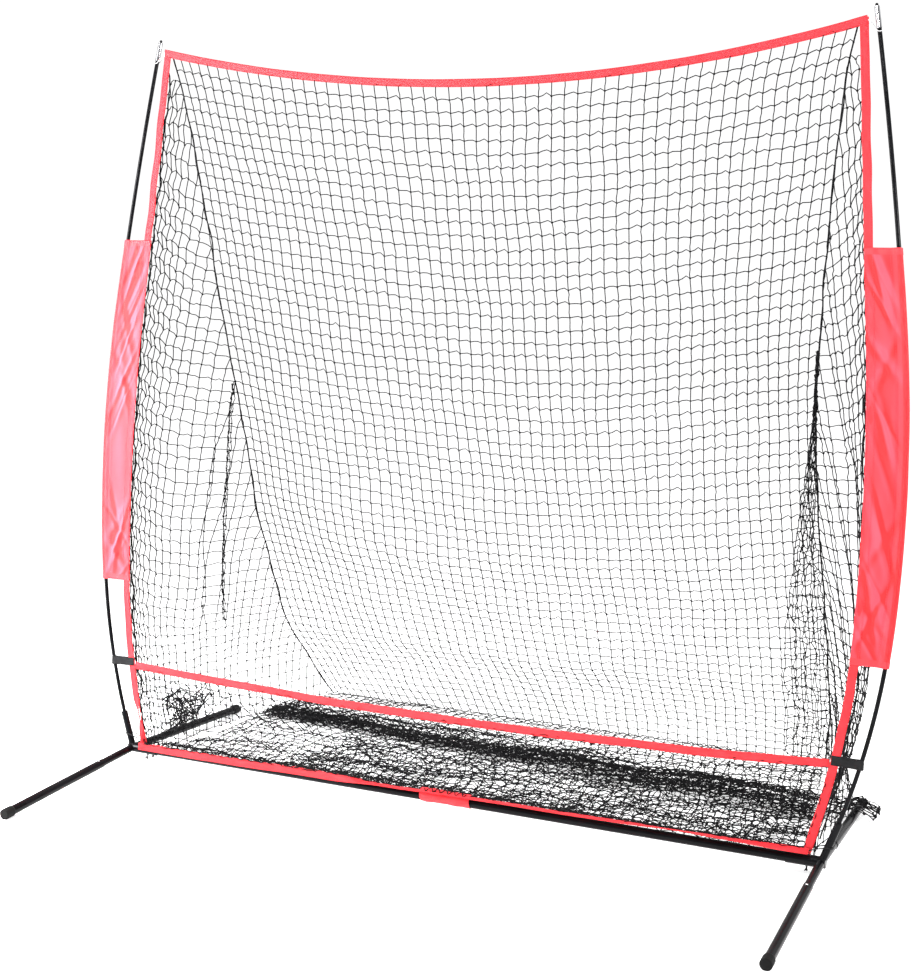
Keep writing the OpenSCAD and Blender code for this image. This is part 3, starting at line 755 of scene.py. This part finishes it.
def gather_right():
    """Slack columns that hang in close folds inside the right seam."""
    rng = np.random.default_rng(201)
    cols = 9
    z = np.arange(0.035, 1.30, PITCH)[:, None]
    t = np.linspace(0, 1, cols)[None]
    t = t + 0.045 * np.sin(2 * math.pi * 4 * t + 2.5 * wobble(0, z, 202, low=0.6, high=1.6))
    wide = 0.003 + 0.108 * (1 - smooth(z, 0.35, 1.24))
    sx, sy = seam_at(z)
    zig = (np.arange(cols) % 2 * 2 - 1)[None]
    size = (len(z), cols)
    x = sx + 0.001 - wide * t + rng.normal(0, 0.0008, size) * (1 + 32 * wide)
    y = sy - 0.006 - 0.035 * t * wide / 0.11 + zig * (0.002 + 0.08 * wide)
    y = y + rng.normal(0, 0.001, size) * (1 + 30 * wide)
    z = z + 0.010 * wobble(t * 3, z * 2, 203, low=1, high=3) + rng.normal(0, 0.004, size)
    return np.stack([x, y + BAR_Y, z], -1)


def gather_left():
    """A narrow fold that hangs straight down in the left side piece."""
    rng = np.random.default_rng(211)
    cols = 3
    z = np.arange(0.37, 1.15, PITCH * 0.8)[:, None]
    t = np.linspace(0, 1, cols)[None]
    sx, sy = seam_at(z)
    w = (z - BAR_Z) / math.cos(LEAN)
    tu, ty = edge_u_at_w(w), w * math.sin(LEAN)
    y = np.minimum(0.372 + 0.06 * (0.75 - z), sy) - 0.008 * t
    x = tu + (sx - tu) * (y - ty) / (sy - ty) - 0.012
    zig = (np.arange(cols) % 2 * 2 - 1)[None]
    size = (len(z), cols)
    x = -(x + zig * 0.0025) + rng.normal(0, 0.0012, size)
    y = y + BAR_Y + rng.normal(0, 0.002, size)
    return np.stack([x, y, z + rng.normal(0, 0.004, size)], -1)


def lip_grid():
    rows = 12
    cols = []
    for u in np.linspace(-1, 1, COLS):
        x = float(LIP_HALF * u * 0.985)
        top = float(lip_w(x)) - BAND_W / 2 + 0.002
        low, ne = (float(q) for q in bottom_edge(x))
        belly = 0.055 + 0.06 * float(smooth(x, -0.95, -0.3))
        belly += 0.02 * float(wobble(x, 0, 71, low=0.8, high=2))
        belly *= 1 - abs(u) ** 8
        line = [(top, 0.001), (top - 0.05, belly * 0.35), (top - 0.12, belly * 0.9),
                (low + 0.035, belly * 1.15), (low + 0.012, belly * 0.6), (low + 0.003, 0.004),
                (low, -ne)]
        line = polyline(rounded(line, 2), count=rows)
        cols.append(np.concatenate([np.full((rows, 1), u), line], 1))
    g = np.stack(cols, 1)
    u, w, back = g[..., 0], g[..., 1], g[..., 2]
    half = np.minimum(edge_u_at_w(np.maximum(w, EDGE_W[0])) - BAND_W / 2 + 0.002, 2)
    j = np.arange(rows)[:, None]
    free = smooth(j, 0, 3) * (1 - smooth(j, rows - 3, rows - 1)) * (1 - np.abs(u) ** 10)
    slack = 0.012 * wobble(u, w * 3, 72, low=2, high=5) + 0.005 * wobble(u, w * 4, 73, low=6, high=12)
    x = half * spread(u, 0.02) + free * slack
    slack = 0.010 * wobble(u * 1.5, w * 4, 74, low=2, high=4) + 0.005 * wobble(u * 2, w, 75, low=5, high=9)
    w = w + free * slack
    back = back + free * 0.012 * wobble(u * 2, w * 3, 76, low=2, high=4)
    return in_frame(x, w, -back)


back = back_grid()
net_piece("net_back", grid_paths(back, 81), back[1:-1, 1:-1], ["net_back"], 82)
for sign, end in SIDES:
    side_net(sign, f"net_side_{end}")
floor_net = floor_grid()
net_piece("net_floor", grid_paths(floor_net, 83, (0, 0, 0.004), 0.003, 0.003),
          floor_net[1:-1, 1:-1], ["net_floor"], 84)
lip = lip_grid()
net_piece("net_lip", grid_paths(lip, 85, (0, 0, 0.003), 0.0018, 0.0018),
          lip[1:-1, 1:-1], ["net_lip"], 86)
bunch = bunch_grid(221, (-0.915, BAR_Y + 0.100, 0.150), (0.055, 0.085, 0.062), 8, 9)
for name, grid in (("net_ridge", spare_grid()), ("net_loose", loose_grid()),
                   ("net_gather_right", gather_right()), ("net_gather_left", gather_left()),
                   ("net_bunch_left", bunch)):
    net_piece(name, grid_paths(grid, len(name), (0, 0, 0.002), 0.0022, 0.0022), grid, [], 87)


def cord_object(name, points, r, mat, sides, replaced=(), wraps=0.0, seed=0):
    """A cord along a smooth line, with small wraps of twine where wraps is their spacing."""
    v, f = tubes(points[None], r, sides)
    groups = [f]
    if wraps:
        at = polyline(points, step=wraps)[1:-1]
        kv, kf = blobs(at, r * 1.35, seed)
        groups.append(kf + len(v))
        v = np.concatenate([v, kv])
    mesh_object(name, v, groups, mat, replaced=replaced)


def seam_cord(sign, name):
    line = np.stack([SEAM[:, 1], SEAM[:, 2], SEAM[:, 0]], -1)
    line = polyline(rounded(line, 2), count=260)
    t = np.linspace(0, 1, 260)
    line[:, 0] += 0.003 * wobble(t * 12, 0, 91 + sign)
    line[:, 1] += 0.004 * wobble(t * 12, 0.5, 93 + sign)
    line[:, 0] *= sign
    line[:, 1] += BAR_Y
    line[:, 2] = np.maximum(line[:, 2], 0.0035)
    cord_object(name, line, 0.0021, "net_cord", 8, [name], wraps=PITCH, seed=95)


for sign, end in SIDES:
    seam_cord(sign, f"seam_cord_{end}")


def selvedge(sign, name):
    """The net's gathered edge, a thick wavy cord just behind the side trim."""
    s = np.linspace(0.06, 2.08, 420)
    u, w = edge_at(s)
    low = 1 - smooth(s, 0.5, 1.3)
    if sign > 0:
        aside = 0.016 * (1 - smooth(s, 0.40, 0.60)) - 0.017 * np.exp(-((s - 1.05) / 0.33) ** 2)
    else:
        aside = -0.004
    u = u + 0.0055 * wobble(s * 11, 0, 101 + sign) + aside
    n = -0.015 - 0.004 * wobble(s * 8, 0.4, 103 + sign) - 0.006 * low
    fade = smooth(s, 0.06, 0.14) * (1 - smooth(s, 2.0, 2.08))
    line = in_frame(sign * u, w, n * fade - 0.003)
    cord_object(name, line, 0.0022, "net_cord", 8, wraps=0.017, seed=105)


for sign, end in SIDES:
    selvedge(sign, f"net_edge_{end}")

# ---------------------------------------------------------------- red fabric and webbing


STITCH_PITCH, STITCH_LEN = 0.0065, 0.0046
THREAD_R = np.array([0.0002, 0.0005, 0.0005, 0.0002])
EDGE_STITCHES = (-0.0078, 0.0078)


def sewn_on(name, paths, thread):
    """Stitches along the paths, as a piece of their own."""
    v, f = tubes(np.concatenate(paths), THREAD_R, 4)
    return mesh_object(name + "_stitches", v, [f], thread)


def ribbon(name, centre, across, width, thick, mat, replaced=(), stitches=(), seed=0):
    """A flat strap with rounded edges along a line, and rows of sewn stitches on both faces."""
    centre = np.asarray(centre, float)
    across = unit(np.asarray(across, float))
    along = unit(np.gradient(centre, axis=0))
    across = unit(across - along * (across * along).sum(-1, keepdims=True))
    normal = np.cross(along, across)
    half, th, crown = width / 2, thick / 2, 0.0004
    section = []
    for a in np.linspace(-1, 1, 9):
        edge = 1 - abs(a) ** 8 * 0.55
        reach = half - th * 0.4 if abs(a) < 1 else half
        section.append((a * reach, (th + crown * (1 - a * a)) * edge))
    section = section + [(a, -b) for a, b in reversed(section)]
    section = np.array(section)
    n, k = len(centre), len(section)
    width_wave = 1 + 0.02 * wobble(np.linspace(0, 1, n) * 14, 0, seed + 1)
    verts = (centre[:, None] + across[:, None] * (section[None, :, :1] * width_wave[:, None, None])
             + normal[:, None] * section[None, :, 1:])
    caps = np.array([np.arange(k)[::-1], (n - 1) * k + np.arange(k)])
    mesh_object(name, verts.reshape(-1, 3), [grid_quads(n, k, True), caps], mat, replaced=replaced)
    if stitches:
        d = lengths(centre)
        starts = np.arange(0.006, d[-1] - 0.01, STITCH_PITCH)
        paths = []
        for off in stitches:
            lift = th + crown * (1 - (off / half) ** 2)
            for face in (1, -1):
                pts = []
                for step, rise in ((0, -0.0002), (0.3, 0.00025), (0.7, 0.00025), (1, -0.0002)):
                    at = starts + STITCH_LEN * step
                    pts.append(sample(at, d, centre) + sample(at, d, across) * off
                               + sample(at, d, normal) * face * (lift + rise))
                paths.append(np.stack(pts, 1))
        sewn_on(name, paths, "red_thread" if "red" in mat else "black_cord")


def turned(across, normal, angle):
    """The direction across, turned towards normal by an angle at each point."""
    return across * np.cos(angle)[:, None] + normal * np.sin(angle)[:, None]


def edge_band(name, line, across, seed):
    """Red edge webbing with a row of stitches near both edges."""
    ribbon(name, line, across, BAND_W, BAND_T, "red_webbing", [name], EDGE_STITCHES, seed)


def trim(sign, name):
    s = np.linspace(EDGE_LOW, EDGE_HIGH, 380)
    u, w = edge_at(s)
    u = u + 0.0012 * wobble(s * 5, 0, 111 + sign)
    n = 0.0006 * wobble(s * 6, 0, 113 + sign)
    off_panel = 1 - smooth(s, 0.45, 0.55) + smooth(s, 1.5, 1.6)
    twist = 0.10 * wobble(s * 3, 0, 115 + sign) * off_panel
    if sign < 0:
        twist = twist + 0.95 * np.exp(-((s - 0.105) / 0.035) ** 2)
    edge_band(name, in_frame(sign * u, w, n), turned(RIGHT, FRONT, twist), 117)


def top_band():
    x = np.linspace(-TOP_U - 0.0205, TOP_U + 0.0205, 340)
    mid = top_band_at(x, 0.0)
    over = 0.0016 * smooth(np.abs(x), TOP_U - 0.03, TOP_U)
    line = mid + FRONT * (over + 0.0008 * wobble(x * 5, 0, 121))[:, None]
    edge_band("top_band", line, top_band_at(x, 0.01) - mid, 123)


def lip_band():
    x = np.linspace(-LIP_HALF - 0.004, LIP_HALF + 0.004, 320)
    line = in_frame(x, lip_w(x) + 0.0012 * wobble(x * 3, 0, 124), 0.001 * wobble(x * 4, 0, 125))
    edge_band("lip_band", line, turned(UP, FRONT, 0.12 * wobble(x * 2, 0, 126)), 127)


def bottom_band():
    x = np.linspace(-BOTTOM_HALF - 0.008, BOTTOM_HALF + 0.008, 320)
    w = bottom_w(x) + 0.001 * wobble(x * 3, 0, 128)
    line = in_frame(x, w, BAND_OUT + 0.0004 * wobble(x * 4, 0, 129))
    edge_band("bottom_band", line, turned(UP, FRONT, bottom_twist(x)), 130)


def corner_binding():
    """The loose binding of the pocket's left corner."""
    t = np.linspace(0, 1, 60)
    out = 0.001 + (BAND_OUT - 0.003) * smooth(t, 0.5, 1)
    line = in_frame(-(edge_u_at_w(0.15) - 0.008) + 0.030 * t, 0.150 - 0.132 * t, out)
    ribbon("corner_binding", line, turned(RIGHT, FRONT, 0.9 * np.sin(t * 5)),
           0.009, 0.0016, "red_webbing", seed=131)


for sign, end in SIDES:
    trim(sign, f"trim_{end}")
top_band()
lip_band()
bottom_band()
corner_binding()

PANEL_ROWS = 300
FLAT_COLS, ROUND_COLS = 34, 18
SLEEVE_R = 0.0088
HEM_ROWS = 6


def panel_ring(ru, inner):
    """The cloth's section at each row: along the rear face, round the rod and back along the front."""
    seam_u = ru - 0.019
    faces = []
    for face in (-1, 1):
        part = []
        for t in np.linspace(0, 1, FLAT_COLS):
            u = inner + (ru - inner - 0.004) * t
            near = smooth(u, seam_u, ru - 0.004)
            puff = 0.0005 * np.sin(math.pi * np.clip((u - inner) / (seam_u - inner), 0, 1))
            part.append((u, face * (0.0019 + puff + (SLEEVE_R - 0.0026) * near)))
        faces.append(part)
    arc = []
    for a in np.linspace(-0.45, 0.45, ROUND_COLS):
        n = np.full(PANEL_ROWS, SLEEVE_R * np.sin(a * math.pi))
        arc.append((ru + SLEEVE_R * np.cos(a * math.pi) * 0.98, n))
    ring = faces[0] + arc + faces[1][::-1]
    return np.stack([c[0] for c in ring], 1), np.stack([c[1] for c in ring], 1)


def creases(s, across, sign):
    """Heights of slanting creases at distance s along the rod and across from the trim."""
    total = np.zeros_like(across)
    rng = np.random.default_rng(141 + sign)
    for _ in range(46):
        slope = rng.uniform(1.2, 4.2) * rng.choice([-1, -1, -1, -1, 1])
        at = rng.uniform(PANEL_LOW - 0.05, PANEL_HIGH + 0.25)
        width = rng.uniform(0.004, 0.013)
        depth = rng.uniform(0.0016, 0.0048) * rng.choice([1, -0.7])
        off = (s - at - slope * across) / math.hypot(1, slope)
        reach = np.exp(-((s - at - slope * 0.045) / 0.10) ** 2)
        total += depth * np.exp(-(off / width) ** 2) * reach
    return total


def panel_hems(name, pts, outward):
    """The cloth's two ends turned over, each a second layer with a closed rim."""
    cols = pts.shape[1]
    ring = np.arange(cols)
    parts = []
    for first, rim_row in ((0, 0), (PANEL_ROWS - HEM_ROWS, HEM_ROWS - 1)):
        band = pts[first:first + HEM_ROWS]
        top = band + outward[first:first + HEM_ROWS]
        rim, under = ring + rim_row * cols, ring + HEM_ROWS * cols
        edge = np.stack([rim[:-1], rim[1:], under[1:], under[:-1]], -1)
        verts = np.concatenate([top.reshape(-1, 3), band[rim_row]])
        parts.append((verts, np.concatenate([grid_quads(HEM_ROWS, cols), edge])))
    v, f = join(parts)
    return mesh_object(name + "_hems", v, [f], "red_fabric")


def panel_stitches(sign, name, s, u, n):
    """Stitch lines at the cloth's edge, beside the trim and beside the sleeve, on both faces."""
    sl = np.linspace(PANEL_LOW + 0.004, PANEL_HIGH - 0.004, 300)
    rod, edge = rod_at(sl)[0], edge_at(sl)[0]
    rows = np.interp(sl, s, np.arange(PANEL_ROWS)).astype(int)
    first = FLAT_COLS + ROUND_COLS
    paths = []
    for line_u in (edge - BAND_W / 2 + 0.003, edge + BAND_W / 2 - 0.002, rod - 0.0215):
        for face in (-1, 1):
            here = np.array([np.interp(q, u[m, first:][::-1], n[m, first:][::-1])
                             for q, m in zip(line_u, rows)])
            line = in_frame(sign * line_u, rod_at(sl)[1], face * (np.abs(here) + 0.0004))
            d = lengths(line)
            starts = np.arange(0.003, d[-1] - STITCH_LEN, STITCH_PITCH)
            paths.append(np.stack([sample(starts + STITCH_LEN * f, d, line) for f in (0, 0.3, 0.7, 1)], 1))
    return sewn_on(name, paths, "red_thread")


def panel(sign, end):
    """One piece of cloth folded round the rod, its two edges sewn over the side trim."""
    name = f"panel_{end}"
    s = np.linspace(PANEL_LOW, PANEL_HIGH, PANEL_ROWS)
    ru, rw, _ = rod_at(s)
    inner = edge_at(s)[0] - BAND_W / 2 - 0.0005
    u, n = panel_ring(ru, inner)
    w = np.tile(rw[:, None], (1, u.shape[1]))
    across = u - inner[:, None]
    t = np.clip(across / (ru - inner)[:, None], 0, 1)
    soft = np.sin(math.pi * t ** 0.8) * 0.9 + 0.1
    ends = smooth(s, PANEL_LOW, PANEL_LOW + 0.05) * (1 - smooth(s, PANEL_HIGH - 0.05, PANEL_HIGH))
    wrinkle = creases(s[:, None], across, sign)
    wrinkle += 0.0012 * wobble(u * 6, w * 2, 143 + sign, low=1, high=3)
    wrinkle *= soft * (0.4 + 0.6 * ends[:, None])
    n = n + np.sign(n) * np.maximum(wrinkle, -np.abs(n) + 0.0016)
    swell = 1 + 0.05 * wobble(s * 4, 0, 145 + sign)[:, None]
    u = np.where(t > 0.93, ru[:, None] + (u - ru[:, None]) * swell, u)
    pts = in_frame(sign * u, w, n)
    obj = mesh_object(name, pts.reshape(-1, 3), [grid_quads(*u.shape)], "red_panel", [name])
    # painted shade and highlight: the slope of the creases across the cloth, lighter on raised creases and
    # kept darker over the sleeve, which the panel's material mixes into its colour
    run = np.gradient(u, axis=1)
    painted_crease_shade = np.gradient(wrinkle, axis=1) / np.maximum(np.abs(run), 0.0004)
    painted_crease_shade = np.clip(0.42 - 1.9 * painted_crease_shade * np.sign(run) + 55 * wrinkle, 0, 1) * (1 - 0.6 * (t > 0.93))
    fold = obj.data.attributes.new("fold", "FLOAT", "POINT")
    fold.data.foreach_set("value", painted_crease_shade.astype(np.float32).ravel())
    outward = FRONT * np.sign(n)[..., None] * 0.0008 + RIGHT * sign * 0.0008 * (t > 0.95)[..., None]
    hem = panel_hems(name, pts, outward)
    thread = panel_stitches(sign, name, s, u, n)


for sign, end in SIDES:
    panel(sign, end)

# the red wrap round the bar and the band, laced on with net twine
wrap_lo, wrap_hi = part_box("bar_wrap")


def wrap_at(x, angle, r):
    """A point of the wrap, which takes in the bottom band in front of the bar as well."""
    reach = np.exp(-((angle - math.pi) / 0.75) ** 2)
    y = BAR_Y + np.cos(angle) * r * (1 + 0.30 * reach)
    z = BAR_Z + 0.0045 + np.sin(angle) * r * (1.28 + 0.14 * reach) + 0.004 * reach
    return np.stack([x, y, z], -1)


def wrap():
    n, k = 90, 40
    low, high = wrap_lo.x, wrap_hi.x
    xs = np.linspace(low, high, n)
    r = (wrap_hi.z - wrap_lo.z) / 2 + 0.0004
    x, angle = np.meshgrid(xs, np.linspace(0, 2 * math.pi, k, endpoint=False), indexing="ij")
    ends = smooth(xs, low, low + 0.02) * (1 - smooth(xs, high - 0.02, high))
    rr = r + 0.0012 * wobble(x * 9, np.cos(angle), 151, low=1, high=2.4) * ends[:, None]
    rr = rr + 0.0016 * np.exp(-((angle - 2.1) / 0.16) ** 2)
    v = wrap_at(x, angle, rr).reshape(-1, 3)
    mesh_object("bar_wrap", v, [grid_quads(n, k, True)], "red_webbing", replaced=["bar_wrap"])
    t = np.linspace(0, 1, 260)
    angle = 2.05 + 0.42 * np.sin(t * 2 * math.pi * 5.5)
    lacing = wrap_at(low + 0.012 + (high - low - 0.024) * t, angle, r + 0.0022)
    cord_object("bar_lacing", lacing, 0.0014, "net_cord", 6)


wrap()

# ---------------------------------------------------------------- tabs, loops and knots


def tab(sign, name):
    """Black webbing round the rod, its ends sewn on the side trim."""
    u0, w0, a0 = rod_at(TAB_AT)
    e0 = edge_at(TAB_AT)[0]
    r = ROD_R + 0.0016
    near, far = e0 + BAND_W / 2, e0 - BAND_W / 2 + 0.002
    path = [(far, 0.0024), (near, 0.0026), (u0 - 0.016, 0.0028), (u0 - 0.008, 0.0055)]
    path += [(u0 + r * math.sin(a), r * math.cos(a)) for a in np.linspace(0, math.pi, 9)]
    path += [(u0 - 0.008, -0.0055), (u0 - 0.016, -0.0028), (near, -0.0026), (far, -0.0024)]
    path = polyline(rounded(path, 2), count=110)
    w = w0 - (path[:, 0] - u0) * math.tan(a0) * 0.14
    line = in_frame(sign * path[:, 0], w, path[:, 1])
    ribbon(name, line, UP, TAB_H, 0.0014, "black_webbing", [name], (-0.0095, 0.0095), 161)


def loop_line(sign, points):
    """A smooth line through the leaning plane's points (u, w, n), on one side."""
    u, w, n = np.array([[float(q) for q in p] for p in points]).T
    return polyline(rounded(in_frame(sign * u, w, n), 3), count=120)


def top_loop(sign, name):
    """Thin elastic from the frame's top corner round the rod below its metal tip."""
    ru, rw, _ = rod_at(ROD_LEN - 0.060)
    eu, ew = edge_at(EDGE_HIGH - 0.008)
    r = ROD_R + 0.0016
    pts = [(eu + 0.004, ew, 0.0022), (eu + 0.010, ew + 0.002, 0.004),
           (ru - 0.006, rw - 0.001, r + 0.0005), (ru + r, rw + 0.001, r * 0.7),
           (ru + r, rw + 0.003, -r * 0.7), (ru - 0.006, rw + 0.003, -r - 0.0005),
           (eu + 0.010, ew + 0.003, -0.004), (eu + 0.004, ew, -0.0022)]
    cord_object(name, loop_line(sign, pts), 0.0011, "grey_cord", 8, [name])


def corner_loop(sign, name):
    """Cord from the frame's bottom corner round the rod's socket, ending in a knot."""
    ru, rw, _ = rod_at(0.046)
    eu, ew = edge_at(EDGE_LOW + 0.004)
    r = 0.0112
    pts = [(eu + 0.001, ew + 0.002, 0.0030), (eu + 0.010, ew + 0.006, 0.007), (ru - 0.008, rw - 0.002, r),
           (ru + r * 0.8, rw - 0.004, r * 0.8), (ru + r + 0.001, rw - 0.004, 0),
           (ru + r * 0.8, rw - 0.003, -r * 0.8), (ru - 0.008, rw, -r),
           (eu + 0.012, ew + 0.010, -0.008), (eu + 0.001, ew + 0.004, -0.0030)]
    cord_object(name, loop_line(sign, pts), 0.0014, "black_cord", 8, [name])
    at = in_frame(np.array([sign * float(eu)]), float(ew) + 0.003, 0.0045)
    lobes = np.array([[0, 0, 0], [0.002, 0, 0.003], [-0.001, -0.001, -0.003]])
    v, f = blobs(at + lobes, 0.0042, 171)
    mesh_object(name + "_knot", v, [f], "black_cord")


for sign, end in SIDES:
    tab(sign, f"tab_{end}")
for sign, end in SIDES:
    top_loop(sign, f"top_loop_{end}")
    corner_loop(sign, f"corner_loop_{end}")

# ---------------------------------------------------------------- stage and light


def stage():
    size = 14
    mesh = bpy.data.meshes.new("floor")
    corners = [(-size, -size, 0), (size, -size, 0), (size, size, 0), (-size, size, 0)]
    mesh.from_pydata(corners, [], [(0, 1, 2, 3)])
    floor = bpy.data.objects.new("floor", mesh)
    scene.collection.objects.link(floor)
    white = material("floor_white", (0.90, 0.90, 0.902), 0.8, vary=0.004, vary_scale=0.7, specular=0.1)
    glow = white.node_tree.nodes["Principled BSDF"]
    glow.inputs["Emission Color"].default_value = (1, 1, 1, 1)
    glow.inputs["Emission Strength"].default_value = 0.55
    mesh.materials.append(white)


def area_light(name, at, aim, size, power):
    data = bpy.data.lights.new(name, "AREA")
    data.shape = "RECTANGLE"
    data.size, data.size_y = size
    data.energy = power
    obj = bpy.data.objects.new(name, data)
    scene.collection.objects.link(obj)
    obj.location = at
    obj.rotation_euler = (Vector(aim) - Vector(at)).to_track_quat("-Z", "Y").to_euler()


stage()
area_light("key", (-2.9, -2.6, 2.6), (-0.6, 0, 1.1), (1.2, 1.2), 24)
area_light("left_panel", (-1.86, -1.12, 1.30), (-1.1, -0.1, 1.2), (0.4, 1.7), 122)
area_light("right_panel", (2.55, -0.75, 1.9), (1.15, 0, 1.1), (0.3, 0.6), 45)
area_light("strip", (-0.6, -1.9, 3.1), (0, -0.2, 0.1), (6.0, 0.05), 95)
area_light("top", (0.2, -0.4, 4.2), (0, 0, 0), (3.5, 3.0), 30)


def backdrop():
    """White behind the net, dimmer in front of it and above."""
    world = bpy.data.worlds.new("world")
    scene.world = world
    world.use_nodes = True
    nodes, links = world.node_tree.nodes, world.node_tree.links
    back = nodes["Background"]
    back.inputs["Color"].default_value = (1, 1, 1, 1)
    where = nodes.new("ShaderNodeTexCoord")
    parts = nodes.new("ShaderNodeSeparateXYZ")
    ramp = nodes.new("ShaderNodeMapRange")
    ramp.inputs["From Min"].default_value = -0.15
    ramp.inputs["From Max"].default_value = 0.35
    ramp.inputs["To Min"].default_value = 0.35
    ramp.inputs["To Max"].default_value = 1.06
    links.new(where.outputs["Generated"], parts.inputs["Vector"])
    links.new(parts.outputs["Y"], ramp.inputs["Value"])
    links.new(ramp.outputs["Result"], back.inputs["Strength"])


backdrop()
scene.view_settings.view_transform = "Standard"
scene.view_settings.look = "None"
